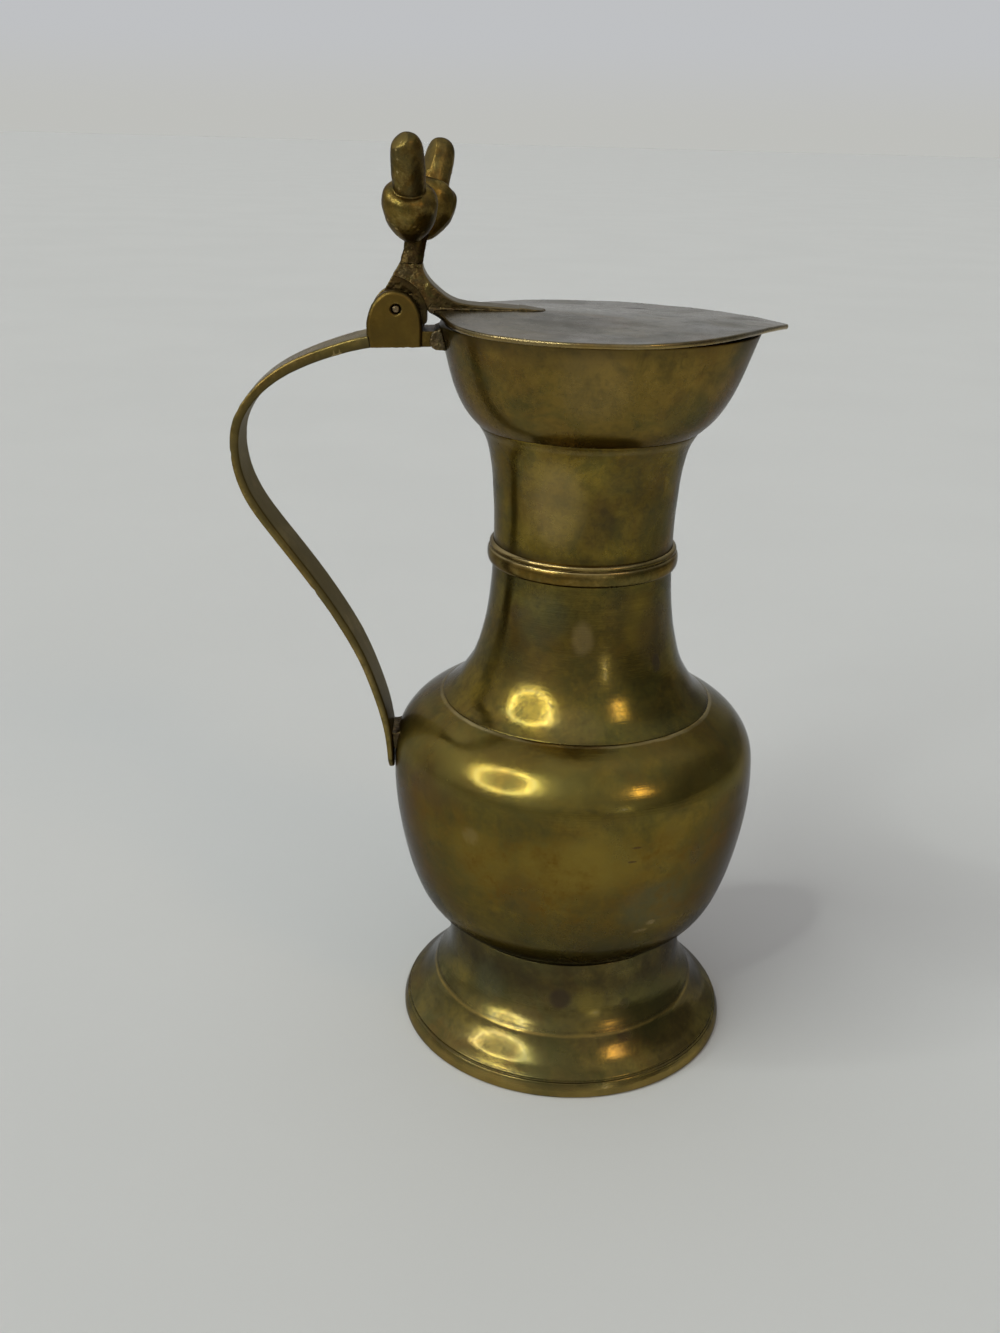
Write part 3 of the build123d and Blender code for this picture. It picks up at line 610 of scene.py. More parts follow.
def acorn(name, node, side, seed):
    tw, lw = math.radians(twist), math.radians(tilt_twist)
    centre = np.array([-43.15 + math.sin(tw) * side * half_gap, math.cos(tw) * side * half_gap, 223.9])
    k = math.tan(math.radians(tilt)) * side
    axis = np.array([math.sin(lw) * k + math.tan(math.radians(lean)), math.cos(lw) * k, 1.0])
    axis /= np.linalg.norm(axis)
    u = np.cross(axis, [0, 1, 0])
    u /= np.linalg.norm(u)
    v = np.cross(axis, u)
    nut = nut_line[side]
    high = nut[-1][1]
    prof = rounded([(spline(cup_line, 7), 0.5), (spline(cup_top, 5), 0.35), (spline(nut, 8), 0.0),
                    ([nut[-1], cup_line[0]], 0.0)], 5)
    prof = resample(prof, 0.3)
    prof = prof[prof[:, 0] > 0.02]
    seg = 144
    th = np.arange(seg) * 2 * math.pi / seg
    lumps, fine = waves(seed, 7.0), waves(seed + 1, 1.5)
    rings = []
    for r, h in prof:
        d = np.full(seg, float(r))
        p = centre + np.outer(np.cos(th) * d, u) + np.outer(np.sin(th) * d, v) + axis * h
        rings.append(p)
    verts, faces = loop_grid(rings, False)
    lo, hi = len(verts), len(verts) + 1
    verts = np.vstack([verts, [centre + axis * cup_line[0][1], centre + axis * high]])
    faces = [list(f) for f in faces] + [[lo, (j + 1) % seg, j] for j in range(seg)]
    last = (len(rings) - 1) * seg
    faces += [[hi, last + j, last + (j + 1) % seg] for j in range(seg)]
    rel = verts - centre
    h = rel @ axis
    radial = rel - np.outer(h, axis)
    rn = np.linalg.norm(radial, axis=1)[:, None]
    radial = radial / np.maximum(rn, 1e-6)
    # the edge of the cup runs lower on the side towards the lip, and is uneven
    lower = radial @ np.array([1.0, 0.0, 0.0])
    belt = np.exp(-((h - 5.2) / 2.2) ** 2)
    verts = verts - np.outer(belt * (0.55 * lower + 0.14 * lumps(verts * 1.4)) * np.clip(rn[:, 0] / 3.0, 0, 1), axis)
    # thin ridge where the two halves of the mould met
    part_at = radial @ np.array([0.96, -0.28, 0.0])
    ridge = 0.20 * np.exp(-((1 - part_at) / 0.006) ** 2) * np.clip((6.4 - h) / 1.0, 0, 1) * np.clip(rn[:, 0] / 2.0, 0, 1)
    amt = 0.09 * lumps(verts) + 0.020 * fine(verts)
    amt *= np.clip(rn[:, 0] / 1.5, 0, 1)
    verts = verts + radial * (amt + ridge)[:, None]
    verts = verts + np.outer(0.10 * lumps(verts + 30) * np.clip(1 - rn[:, 0] / 3.5, 0, 1), axis)
    knob = centre + axis * (high - 4.0)
    flat_mask = np.zeros(len(verts))
    for f, dist, full in flats[side]:
        f = np.array(f) / np.linalg.norm(f)
        over = (verts - knob) @ f - dist
        on = (over > 0) & (h > 8.5)
        verts = verts - np.outer(np.where(on, over * full, 0.0), f)
        flat_mask = np.maximum(flat_mask, np.where(h > 8.5, np.clip((over + 0.10) / 0.25, 0, 1), 0) * (1.0 if f[2] > 0.4 else 0.4))
    o = piece(name, verts, faces, "lid", [node])
    paint(o, flat_mask)
    return o


o_near = acorn("acorn_front", "acorn_near", -1, 51)
o_far = acorn("acorn_back", "acorn_far", 1, 61)
o_stem = from_cad("thumb_post", "thumb_stem", "lid", 0.12, 4, cast(0.06, 0.03, 0.10))


# ============================================================================ materials
def tree(name):
    mat = bpy.data.materials.new(name)
    mat.use_nodes = True
    nt = mat.node_tree
    nt.nodes.clear()
    out = nt.nodes.new("ShaderNodeOutputMaterial")
    bs = nt.nodes.new("ShaderNodeBsdfPrincipled")
    nt.links.new(bs.outputs[0], out.inputs[0])
    return mat, nt, bs


class Nodes:
    """Short names for the node work."""

    def __init__(self, nt):
        self.nt = nt
        self.co = nt.nodes.new("ShaderNodeTexCoord").outputs["Object"]

    def put(self, sock, value):
        if isinstance(value, bpy.types.NodeSocket):
            self.nt.links.new(value, sock)
        elif hasattr(value, "__len__") and len(value) == 3 and sock.type == "RGBA":
            sock.default_value = (*value, 1)
        else:
            sock.default_value = value

    def math(self, op, a, b=0.0, c=None, clamp=False):
        n = self.nt.nodes.new("ShaderNodeMath")
        n.operation, n.use_clamp = op, clamp
        self.put(n.inputs[0], a)
        self.put(n.inputs[1], b)
        if c is not None:
            self.put(n.inputs[2], c)
        return n.outputs[0]

    def vmath(self, op, a, b=(0, 0, 0), scale=None):
        n = self.nt.nodes.new("ShaderNodeVectorMath")
        n.operation = op
        self.put(n.inputs[0], a)
        if op == "SCALE":
            n.inputs[3].default_value = scale
        else:
            self.put(n.inputs[1], b)
        return n.outputs["Value"] if op in ("DISTANCE", "LENGTH", "DOT_PRODUCT") else n.outputs[0]

    def noise(self, scale, detail=4, rough=0.55, vec=None, offset=(0, 0, 0), distort=0.0):
        n = self.nt.nodes.new("ShaderNodeTexNoise")
        n.inputs["Scale"].default_value = scale
        n.inputs["Detail"].default_value = detail
        n.inputs["Roughness"].default_value = rough
        n.inputs["Distortion"].default_value = distort
        v = vec if vec is not None else self.co
        if offset != (0, 0, 0):
            v = self.vmath("ADD", v, offset)
        self.put(n.inputs["Vector"], v)
        return n.outputs["Fac"]

    def remap(self, value, a, b, c=0.0, d=1.0, smooth=True):
        n = self.nt.nodes.new("ShaderNodeMapRange")
        n.interpolation_type = "SMOOTHSTEP" if smooth else "LINEAR"
        self.put(n.inputs[0], value)
        for i, x in enumerate((a, b, c, d)):
            self.put(n.inputs[i + 1], x)
        return n.outputs[0]

    def mix(self, fac, a, b, mode="MIX"):
        n = self.nt.nodes.new("ShaderNodeMix")
        n.data_type, n.blend_type = "RGBA", mode
        self.put(n.inputs[0], fac)
        self.put(n.inputs[6], a)
        self.put(n.inputs[7], b)
        return n.outputs[2]

    def xyz(self, vec=None):
        n = self.nt.nodes.new("ShaderNodeSeparateXYZ")
        self.put(n.inputs[0], vec if vec is not None else self.co)
        return n.outputs

    def around(self, turns, height):
        """Coordinates that run round the vessel without a seam: slow round it, fast up it."""
        x, y, z = self.xyz()
        r = self.math("SQRT", self.math("ADD", self.math("MULTIPLY", x, x), self.math("MULTIPLY", y, y)))
        r = self.math("MAXIMUM", r, 1e-4)
        n = self.nt.nodes.new("ShaderNodeCombineXYZ")
        self.put(n.inputs[0], self.math("MULTIPLY", self.math("DIVIDE", x, r), turns))
        self.put(n.inputs[1], self.math("MULTIPLY", self.math("DIVIDE", y, r), turns))
        self.put(n.inputs[2], self.math("MULTIPLY", self.math("ADD", z, self.math("MULTIPLY", r, 0.35)), height))
        return n.outputs[0]

    def spot(self, at, radius, ragged=0.35, soft=0.35, squash=(1, 1, 1)):
        """Mask of a stain at a place in millimetres, with a ragged edge."""
        p = self.vmath("SUBTRACT", self.co, tuple(c * MM for c in at))
        p = self.vmath("MULTIPLY", p, squash)
        d = self.vmath("LENGTH", p)
        w = self.noise(0.35 / (radius * MM), 3, 0.6, offset=tuple(c * 0.013 for c in at))
        d = self.math("ADD", d, self.math("MULTIPLY", self.math("SUBTRACT", w, 0.5), ragged * 2 * radius * MM))
        return self.remap(d, radius * MM * (1 - soft), radius * MM * (1 + soft), 1.0, 0.0)

    def bump(self, height, strength, distance, normal=None):
        n = self.nt.nodes.new("ShaderNodeBump")
        n.inputs["Strength"].default_value = strength
        n.inputs["Distance"].default_value = distance
        self.put(n.inputs["Height"], height)
        if normal is not None:
            self.put(n.inputs["Normal"], normal)
        return n.outputs[0]


def aged_brass(name, base, brown, gold, dull, rough, lathe_lines=0.0, blotch=16.0, marks=(), grain=1.0, pitted=0.0, edge=0.0,
               brushed=None, tarnish_low=0.46, tarnish_high=0.66, specular=0.5, bands=(), worn=None,
               grazing=(0.50, 0.51, 0.55), deep=(0.085, 0.066, 0.018), mottle=1.0,
                russet=(0.150, 0.078, 0.018), moss=(0.078, 0.076, 0.022), waxed=0.0):
    """Old brass: a metal whose colour wanders between olive, brown and gold, with rubbed and dull places.
    marks: (place, radius, kind, strength, squash) with kind dark, pale, blue, gold or film.
    bands: (low, high, softness, kind, strength) round the vessel, heights in millimetres, broken up unevenly.
    worn: (colour, roughness, strength) where the stored number of the vertex is 1; this is rubbed wear on most pieces
    and painted shade on the inner face of the handle."""
    mat, nt, bs = tree(name)
    N = Nodes(nt)
    big = N.noise(blotch, 5, 0.58, distort=0.4)
    mid = N.noise(blotch * 3.1, 5, 0.6, offset=(0.31, 0.17, 0.05), distort=0.3)
    tiny = N.noise(900, 3, 0.6)
    speck = N.noise(2600, 2, 0.6)
    fine = N.noise(blotch * 11.0, 5, 0.68, offset=(0.13, 0.71, 0.45), distort=0.5)
    col = N.mix(N.remap(big, 0.40, 0.60), base, brown)
    col = N.mix(N.math("MULTIPLY", N.remap(mid, 0.48, 0.68), 0.75), col, gold)
    col = N.mix(N.math("MULTIPLY", N.remap(fine, 0.50, 0.70), 0.62 * mottle), col, deep)
    col = N.mix(N.math("MULTIPLY", N.remap(fine, 0.50, 0.34), 0.32 * mottle), col, gold)
    grit = N.noise(blotch * 32.0, 4, 0.66, offset=(0.63, 0.21, 0.15))
    col = N.mix(N.math("MULTIPLY", N.remap(grit, 0.50, 0.70), 0.38 * mottle), col, deep)
    col = N.mix(N.math("MULTIPLY", N.remap(grit, 0.48, 0.32), 0.24 * mottle), col, gold)
    if lathe_lines:      # wiping and wear run round the turned pieces
        wipe = N.noise(1.0, 5, 0.72, vec=N.around(2.2, 210.0), offset=(5, 2, 8))
        col = N.mix(N.math("MULTIPLY", N.remap(wipe, 0.52, 0.72), 0.42), col, deep)
        col = N.mix(N.math("MULTIPLY", N.remap(wipe, 0.46, 0.32), 0.30), col, gold)
    red = N.remap(N.noise(blotch * 2.3, 5, 0.62, offset=(0.9, 0.6, 0.3), distort=0.7), 0.50, 0.66)
    col = N.mix(N.math("MULTIPLY", red, 0.42 * mottle), col, russet)
    green = N.remap(N.noise(blotch * 4.2, 6, 0.66, offset=(0.2, 0.4, 0.8), distort=0.6), 0.50, 0.64)
    col = N.mix(N.math("MULTIPLY", green, 0.46 * mottle), col, moss)
    film = N.remap(N.noise(blotch * 1.7, 6, 0.62, offset=(0.7, 0.2, 0.9), distort=0.6), tarnish_low, tarnish_high)
    col = N.mix(N.math("MULTIPLY", film, 0.55), col, dull)
    col = N.mix(N.math("MULTIPLY", N.remap(tiny, 0.52, 0.75), 0.28 * grain), col, dull)
    col = N.mix(N.math("MULTIPLY", N.remap(speck, 0.60, 0.74), 0.22 * grain), col, (0.045, 0.032, 0.012))
    ro = N.math("ADD", rough, N.math("MULTIPLY", N.math("SUBTRACT", mid, 0.5), 0.16))
    ro = N.math("ADD", ro, N.math("MULTIPLY", film, 0.07))
    ro = N.math("ADD", ro, N.math("MULTIPLY", N.math("SUBTRACT", fine, 0.5), 0.14))
    ro = N.math("ADD", ro, N.math("MULTIPLY", N.math("SUBTRACT", tiny, 0.5), 0.10))
    metal = N.math("SUBTRACT", 1.0, N.math("MULTIPLY", film, 0.02))
    for at, radius, kind, strength, squash in marks:
        m = N.math("MULTIPLY", N.spot(at, radius, squash=squash), strength)
        if kind == "dark":
            col = N.mix(m, col, (0.030, 0.017, 0.012))
            ro = N.math("ADD", ro, N.math("MULTIPLY", m, 0.18))
            metal = N.math("SUBTRACT", metal, N.math("MULTIPLY", m, 0.35))
        elif kind == "pale":
            col = N.mix(m, col, (0.50, 0.37, 0.17))
            ro = N.math("ADD", ro, N.math("MULTIPLY", m, 0.10))
        elif kind == "blue":
            col = N.mix(m, col, (0.105, 0.120, 0.075))
        elif kind == "gold":
            col = N.mix(m, col, gold)
        elif kind == "film":
            col = N.mix(m, col, dull)
        elif kind == "haze":
            ro = N.math("ADD", ro, N.math("MULTIPLY", m, 0.22))
    if bands:
        height = N.math("DIVIDE", N.xyz()[2], MM)
        height = N.math("ADD", height, N.math("MULTIPLY", N.math("SUBTRACT", N.noise(160, 4, 0.6, offset=(0.5, 0.5, 0.1)), 0.5), 0.5))
        broken = N.remap(N.noise(55, 4, 0.6, offset=(0.2, 0.9, 0.4)), 0.34, 0.62, 0.35, 1.0)
    for low, high, soft, kind, strength in bands:
        m = N.math("MULTIPLY", N.remap(height, low - soft, low + soft), N.remap(height, high - soft, high + soft, 1.0, 0.0))
        m = N.math("MULTIPLY", N.math("MULTIPLY", m, broken), strength)
        if kind == "dark":
            col = N.mix(m, col, (0.034, 0.024, 0.012))
            ro = N.math("ADD", ro, N.math("MULTIPLY", m, 0.20))
        elif kind == "pale":
            col = N.mix(m, col, (0.44, 0.35, 0.17))
        elif kind == "gold":
            col = N.mix(m, col, (0.50, 0.34, 0.09))
        elif kind == "tan":
            m = N.math("MULTIPLY", m, N.math("MULTIPLY", N.remap(fine, 0.36, 0.60, 1.0, 0.45), N.remap(grit, 0.38, 0.62, 1.0, 0.55)))
            col = N.mix(m, col, (0.150, 0.080, 0.008))
        elif kind == "green":
            col = N.mix(m, col, (0.205, 0.168, 0.040))
    if worn:
        at = nt.nodes.new("ShaderNodeAttribute")
        at.attribute_name = "worn"
        m = N.math("MULTIPLY", at.outputs["Fac"], worn[2])
        m = N.math("MULTIPLY", m, N.remap(mid, 0.30, 0.52, 0.55, 1.0))
        col = N.mix(m, col, worn[0])
        ro = N.math("ADD", N.math("MULTIPLY", ro, N.math("SUBTRACT", 1.0, m)), N.math("MULTIPLY", m, worn[1]))
    if edge:
        geo = nt.nodes.new("ShaderNodeNewGeometry")
        worn = N.remap(geo.outputs["Pointiness"], 0.515, 0.56)
        worn = N.math("MULTIPLY", worn, N.remap(mid, 0.35, 0.6))
        col = N.mix(N.math("MULTIPLY", worn, edge), col, (0.62, 0.47, 0.20))
        low_p = N.remap(geo.outputs["Pointiness"], 0.485, 0.44)
        col = N.mix(N.math("MULTIPLY", low_p, 0.8), col, (0.030, 0.022, 0.010))
        ro = N.math("ADD", ro, N.math("MULTIPLY", low_p, 0.2))
    ro = N.math("MINIMUM", N.math("MAXIMUM", ro, 0.08), 0.85)
    N.put(bs.inputs["Base Color"], col)
    N.put(bs.inputs["Roughness"], ro)
    N.put(bs.inputs["Metallic"], metal)
    bs.inputs["Specular IOR Level"].default_value = specular
    bs.inputs["Specular Tint"].default_value = (*grazing, 1.0)
    if waxed:            # a thin clear layer gives the pale core of the highlights
        bs.inputs["Coat Weight"].default_value = waxed
        bs.inputs["Coat Roughness"].default_value = 0.08
    nor = None
    if lathe_lines:
        lines = N.noise(1.0, 4, 0.75, vec=N.around(1.2, 2300.0))
        nor = N.bump(lines, lathe_lines, 0.00006)
        wide = N.noise(1.0, 3, 0.6, vec=N.around(1.6, 420.0), offset=(3, 1, 2))
        nor = N.bump(wide, lathe_lines * 0.8, 0.00012, nor)
    if brushed:
        v = N.vmath("MULTIPLY", N.co, brushed)
        nor = N.bump(N.noise(1.0, 4, 0.7, vec=v), 0.35, 0.00006, nor)
    nor = N.bump(N.noise(1100, 3, 0.6, offset=(0.4, 0.1, 0.2)), 0.30 * grain, 0.00005, nor)
    nor = N.bump(N.noise(230, 3, 0.5, offset=(0.1, 0.6, 0.2)), 0.25 * grain, 0.00012, nor)
    if pitted:
        v = nt.nodes.new("ShaderNodeTexVoronoi")
        v.inputs["Scale"].default_value = 1300
        N.put(v.inputs["Vector"], N.co)
        nor = N.bump(N.remap(v.outputs["Distance"], 0.0, 0.5), pitted, 0.00012, nor)
        nor = N.bump(N.noise(650, 5, 0.7, offset=(0.9, 0.3, 0.2)), pitted, 0.0002, nor)
    N.put(bs.inputs["Normal"], nor)
    return mat


R1 = (1, 1, 1)
olive, brown, gold, dull = (0.156, 0.116, 0.019), (0.162, 0.095, 0.016), (0.275, 0.195, 0.032), (0.082, 0.076, 0.024)
vessel_marks_low = [
    ((-2.9, -33.2, 22.9), 3.0, "dark", 0.75, R1), ((15.3, -30.6, 19.3), 1.6, "dark", 0.5, R1),
    ((15.3, -34.9, 12.3), 2.3, "dark", 0.6, (1, 1, 1.3)), ((5.0, -33.0, 22.0), 4.0, "gold", 0.5, R1),
    ((20, 28, 12), 2.4, "dark", 0.6, R1), ((-24, -27, 24), 6.0, "blue", 0.35, R1),
    ((24.0, -30.0, 18.0), 9.0, "film", 0.6, R1), ((-10.0, -40.0, 9.0), 7.0, "film", 0.35, R1)]
vessel_marks_belly = [
    ((-44.0, -12.0, 92.0), 15.0, "haze", 1.0, (1, 1, 1.2)),
    ((19.5, -42.8, 58.4), 9.0, "blue", 0.42, (1, 1, 1.2)), ((-5.8, -48.6, 71.7), 13.0, "gold", 0.55, (1, 1, 1.6)),
    ((3.9, -49.0, 74.0), 11.0, "gold", 0.5, (1, 1, 1.3)), ((-25.7, -41.6, 70.2), 9.0, "gold", 0.5, R1),
    ((-38.3, -30.1, 85.4), 9.0, "dark", 0.30, (1, 1, 1.7)), ((29.2, -39.3, 71.8), 1.8, "dark", 0.35, (1, 1, 0.5)),
    ((13.1, -47.5, 77.6), 0.6, "dark", 0.75, (0.45, 1, 2)), ((12.1, -47.6, 73.7), 0.6, "dark", 0.7, (0.5, 1, 2)),
    ((18.7, -41.6, 52.6), 1.3, "pale", 0.35, (1, 1, 1.5)), ((16.2, -41.9, 50.3), 1.2, "pale", 0.35, (0.5, 1, 2)),
    ((-28.3, -40.3, 76.3), 2.4, "pale", 0.18, R1), ((36.0, -33.0, 66.0), 13.0, "film", 0.6, R1),
    ((-3.0, -42.0, 47.0), 12.0, "film", 0.4, (0.6, 1, 1.6)), ((-34.0, -35.0, 62.0), 9.0, "film", 0.4, R1),
    ((-16.0, -46.0, 62.0), 6.0, "dark", 0.22, (1, 1, 0.8)), ((22.0, -44.0, 80.0), 5.0, "gold", 0.4, R1),
    ((30, 38, 80), 10.0, "gold", 0.4, R1), ((-10, 46, 60), 9.0, "blue", 0.5, R1), ((44, 14, 70), 8.0, "dark", 0.25, R1)]
vessel_marks_neck = [
    ((-27.0, -10.0, 112.0), 9.0, "haze", 0.8, (1, 1, 0.6)), ((-33.0, -10.0, 103.0), 9.0, "haze", 0.8, R1),
    ((-1.1, -24.7, 123.8), 3.2, "pale", 0.32, (1.2, 1, 0.8)), ((18.8, -18.3, 115.5), 1.6, "dark", 0.6, (1, 1, 0.6)),
    ((-17.6, -16.6, 128.1), 2.0, "dark", 0.3, R1), ((13.8, -20.0, 127.8), 5.0, "gold", 0.5, (1, 1, 0.7)),
    ((-12, -22, 128.0), 7.0, "blue", 0.35, R1), ((-11.1, -21.5, 159.6), 7.5, "pale", 0.13, (1, 1, 0.7)),
    ((0.5, -24.2, 152.7), 5.5, "dark", 0.34, (1.2, 1, 0.7)), ((10.0, -22.0, 160.0), 8.0, "dark", 0.26, (1, 1, 0.6)),
    ((-8.0, -22.5, 157.0), 6.0, "pale", 0.16, (1, 1, 0.6)), ((17.5, -16.0, 123.0), 6.5, "dark", 0.45, (1, 1, 0.8)),
    ((8.0, -23.0, 131.0), 5.0, "dark", 0.25, (1, 1, 0.9)), ((-4.0, -33.5, 103.5), 6.0, "pale", 0.10, (0.7, 1, 1.4)),
    ((17.0, -17.0, 150.0), 6.0, "film", 0.5, (1, 1, 0.6)), ((-14.0, -21.0, 116.0), 6.0, "dark", 0.22, R1),
    ((0, 25, 120), 6.0, "blue", 0.5, R1), ((-6, 24, 158), 6.0, "dark", 0.3, R1)]
vessel_marks_bowl = [
    ((17.6, -30.3, 186.6), 1.6, "dark", 0.18, R1), ((13.8, -30.5, 181.9), 1.8, "dark", 0.16, R1),
    ((-10.2, -35.7, 196.0), 7.0, "dark", 0.20, (0.5, 0.5, 2.0)), ((20, 30, 185), 3.0, "dark", 0.3, R1),
    ((-2.0, -35.0, 190.0), 8.0, "pale", 0.10, (1, 1, 0.8)), ((22.0, -27.0, 180.0), 7.0, "film", 0.4, R1)]

# painted light in the foot's bands: the dark band at 23-34 mm is painted shade on the foot's upper part, the gold bands
# under the groove (13.1-13.75 mm) and round the rim (-1-3 mm) are painted highlights, and the dark lines in the two
# grooves (14.0-14.5 and 4.0-4.7 mm) are painted shade
m_foot = aged_brass("brass_foot", (0.158, 0.132, 0.046), (0.140, 0.102, 0.032), (0.240, 0.180, 0.040), dull, 0.185, 0.40, 22.0, vessel_marks_low, waxed=0.10,
                    bands=[(23.0, 34.0, 4.5, "dark", 0.75), (13.1, 13.75, 0.3, "gold", 0.55), (14.0, 14.5, 0.2, "dark", 0.5),
                           (-1.0, 3.0, 0.9, "gold", 0.45), (4.0, 4.7, 0.3, "dark", 0.5)])
# painted light in the belly's bands: the dark bands at 32-36.2 and 38-54 mm are painted shade low on the belly, the
# faint dark band at 84-87.5 mm is a painted dark reflection under the highlights, and the gold band at 96-97.5 mm and
# the pale line at 99.55-99.95 mm are painted highlights under the shoulder groove; the tan and green bands are the
# metal's own colour
m_belly = aged_brass("brass_belly", olive, brown, gold, dull, 0.190, 0.42, 17.0, vessel_marks_belly, waxed=0.10,
                     bands=[(32.0, 36.2, 1.4, "dark", 0.85), (99.55, 99.95, 0.12, "pale", 0.75), (96.0, 97.5, 1.2, "gold", 0.20),
                            (84.0, 87.5, 2.5, "dark", 0.14), (38.0, 54.0, 7.0, "dark", 0.32),
                            (52.0, 81.0, 7.0, "tan", 0.95), (86.0, 99.0, 3.5, "green", 0.62)])
m_shoulder = aged_brass("brass_shoulder", (0.160, 0.146, 0.034), (0.158, 0.112, 0.024), gold, dull, 0.185, 0.42, 19.0, vessel_marks_neck, waxed=0.10,
                        bands=[(99.0, 100.5, 0.5, "dark", 0.5), (133.0, 138.0, 2.0, "dark", 0.40)])
m_neck = aged_brass("brass_neck", (0.168, 0.120, 0.016), (0.146, 0.088, 0.012), gold, dull, 0.25, 0.30, 19.0, vessel_marks_neck, waxed=0.10,
                    bands=[(172.6, 174.0, 0.3, "dark", 0.35), (171.2, 172.2, 0.4, "pale", 0.22), (142.0, 144.5, 1.0, "dark", 0.5)])
# painted shade: the dark band at 195.5-199 mm and the dark streak at (-10.2, -35.7, 196) lie under the lid's edge and
# stand for the shade of the lid
m_bowl = aged_brass("brass_bowl", (0.180, 0.120, 0.024), (0.158, 0.094, 0.020), (0.26, 0.17, 0.034), dull, 0.27, 0.28, 15.0,
                    vessel_marks_bowl, waxed=0.10, bands=[(195.5, 199.0, 1.5, "dark", 0.35)])
# painted light on the collar: the pale lines at 136.9-137.5, 141.0-141.35 and 142.3-143.1 mm are painted highlights,
# and the dark line at 141.4-141.9 mm is painted shade in the groove between them
m_ring = aged_brass("brass_ring", (0.205, 0.152, 0.050), brown, (0.36, 0.26, 0.08), dull, 0.20, 0.30, 24.0, edge=0.6,
                    bands=[(141.0, 141.35, 0.12, "pale", 0.7), (142.3, 143.1, 0.2, "pale", 0.6), (136.9, 137.5, 0.15, "pale", 0.7), (141.4, 141.9, 0.15, "dark", 0.6)])
# painted shade: the dark colour (0.112, 0.086, 0.032) goes on the marked inner face of the strap
m_handle = aged_brass("brass_handle", (0.290, 0.215, 0.062), (0.240, 0.160, 0.045), (0.40, 0.29, 0.10), (0.14, 0.12, 0.055), 0.28, 0.0, 26.0,
                      pitted=0.10, edge=0.45, brushed=(500, 60, 500), worn=((0.112, 0.086, 0.032), 0.40, 0.92), grazing=(0.56, 0.54, 0.50))
m_ears = aged_brass("brass_ears", (0.135, 0.094, 0.024), (0.104, 0.064, 0.016), (0.25, 0.165, 0.038), (0.080, 0.064, 0.022), 0.34, 0.0, 60.0,
                    pitted=0.12, edge=0.40, tarnish_low=0.42, tarnish_high=0.60, worn=((0.195, 0.122, 0.024), 0.32, 0.58))
m_pin = aged_brass("brass_pin", (0.30, 0.22, 0.14), (0.24, 0.17, 0.10), (0.36, 0.27, 0.16), dull, 0.36, 0.0, 200.0, pitted=0.15)
# painted highlights on the lid: the gold mark at (-22, -34, 198.6) on the left front edge and the gold band at
# 196-198.9 mm along its rim
m_lid = aged_brass("brass_lid", (0.200, 0.170, 0.098), (0.165, 0.130, 0.066), (0.24, 0.19, 0.098), (0.100, 0.088, 0.056), 0.24, 0.0,
                   30.0, marks=[((12.5, 22.0, 199.6), 3.6, "dark", 0.5, (1, 2.2, 1)), ((6.0, 20.5, 199.6), 2.4, "dark", 0.45, (1, 2, 1)),
                                ((1.5, 17.0, 199.6), 1.6, "dark", 0.4, (1, 1.6, 1)), ((38.0, 5.0, 199.2), 4.0, "dark", 0.3, R1),
                                ((-8.0, -14.0, 199.5), 10.0, "film", 0.4, R1), ((25.0, -18.0, 199.2), 8.0, "film", 0.35, R1),
                                ((-14.0, -30.0, 198.6), 9.0, "dark", 0.25, (1, 1.5, 1)), ((20.0, 4.0, 199.6), 6.0, "dark", 0.22, (1, 2, 1)),
                                ((12.5, 22.0, 197.0), 4.0, "dark", 0.3, R1), ((-22.0, -34.0, 198.6), 11.0, "gold", 0.5, R1)],
                   brushed=(90, 420, 300), edge=0.15, grazing=(0.86, 0.86, 0.86), deep=(0.075, 0.062, 0.034),
                   bands=[(196.0, 198.9, 0.3, "gold", 0.45)])
m_cast = aged_brass("brass_cast", (0.092, 0.070, 0.028), (0.074, 0.048, 0.020), (0.16, 0.112, 0.04), (0.052, 0.045, 0.024), 0.40, 0.0,
                    70.0, pitted=0.28, edge=0.22, worn=((0.165, 0.130, 0.068), 0.29, 0.92), grazing=(0.62, 0.60, 0.55))
# painted shade: the post under the acorns is coloured near black for the shade that falls there
m_stem = aged_brass("brass_stem", (0.050, 0.034, 0.014), (0.040, 0.024, 0.010), (0.12, 0.082, 0.028), (0.030, 0.024, 0.012), 0.42, 0.0,
                    80.0, pitted=0.30, edge=0.30, grazing=(0.35, 0.33, 0.28))
m_acorn = aged_brass("brass_acorn", (0.190, 0.128, 0.028), (0.125, 0.076, 0.018), (0.33, 0.24, 0.070), (0.088, 0.072, 0.032), 0.33, 0.0,
                     75.0, pitted=0.16, edge=0.55, worn=((0.26, 0.19, 0.054), 0.32, 0.45))
m_solder = aged_brass("old_solder", (0.085, 0.070, 0.042), (0.090, 0.058, 0.036), (0.26, 0.19, 0.09), (0.052, 0.046, 0.030), 0.42, 0.0,
                      160.0, pitted=0.28, edge=0.35)


def dress(o, mat):
    o.data.materials.clear()
    o.data.materials.append(mat)


for o, mat in ((o_foot, m_foot), (o_belly, m_belly), (o_shoulder, m_shoulder), (o_neck, m_neck), (o_ring, m_ring), (o_bowl, m_bowl),
               (o_fsolder, m_solder), (o_strap, m_handle), (o_fork, m_ears), (o_rim, m_solder), (o_hsolder, m_solder),
               (o_pin, m_pin), (o_lid, m_lid), (o_tongue, m_cast), (o_lsolder, m_solder), (o_near, m_acorn), (o_far, m_acorn),
               (o_stem, m_stem)):
    dress(o, mat)


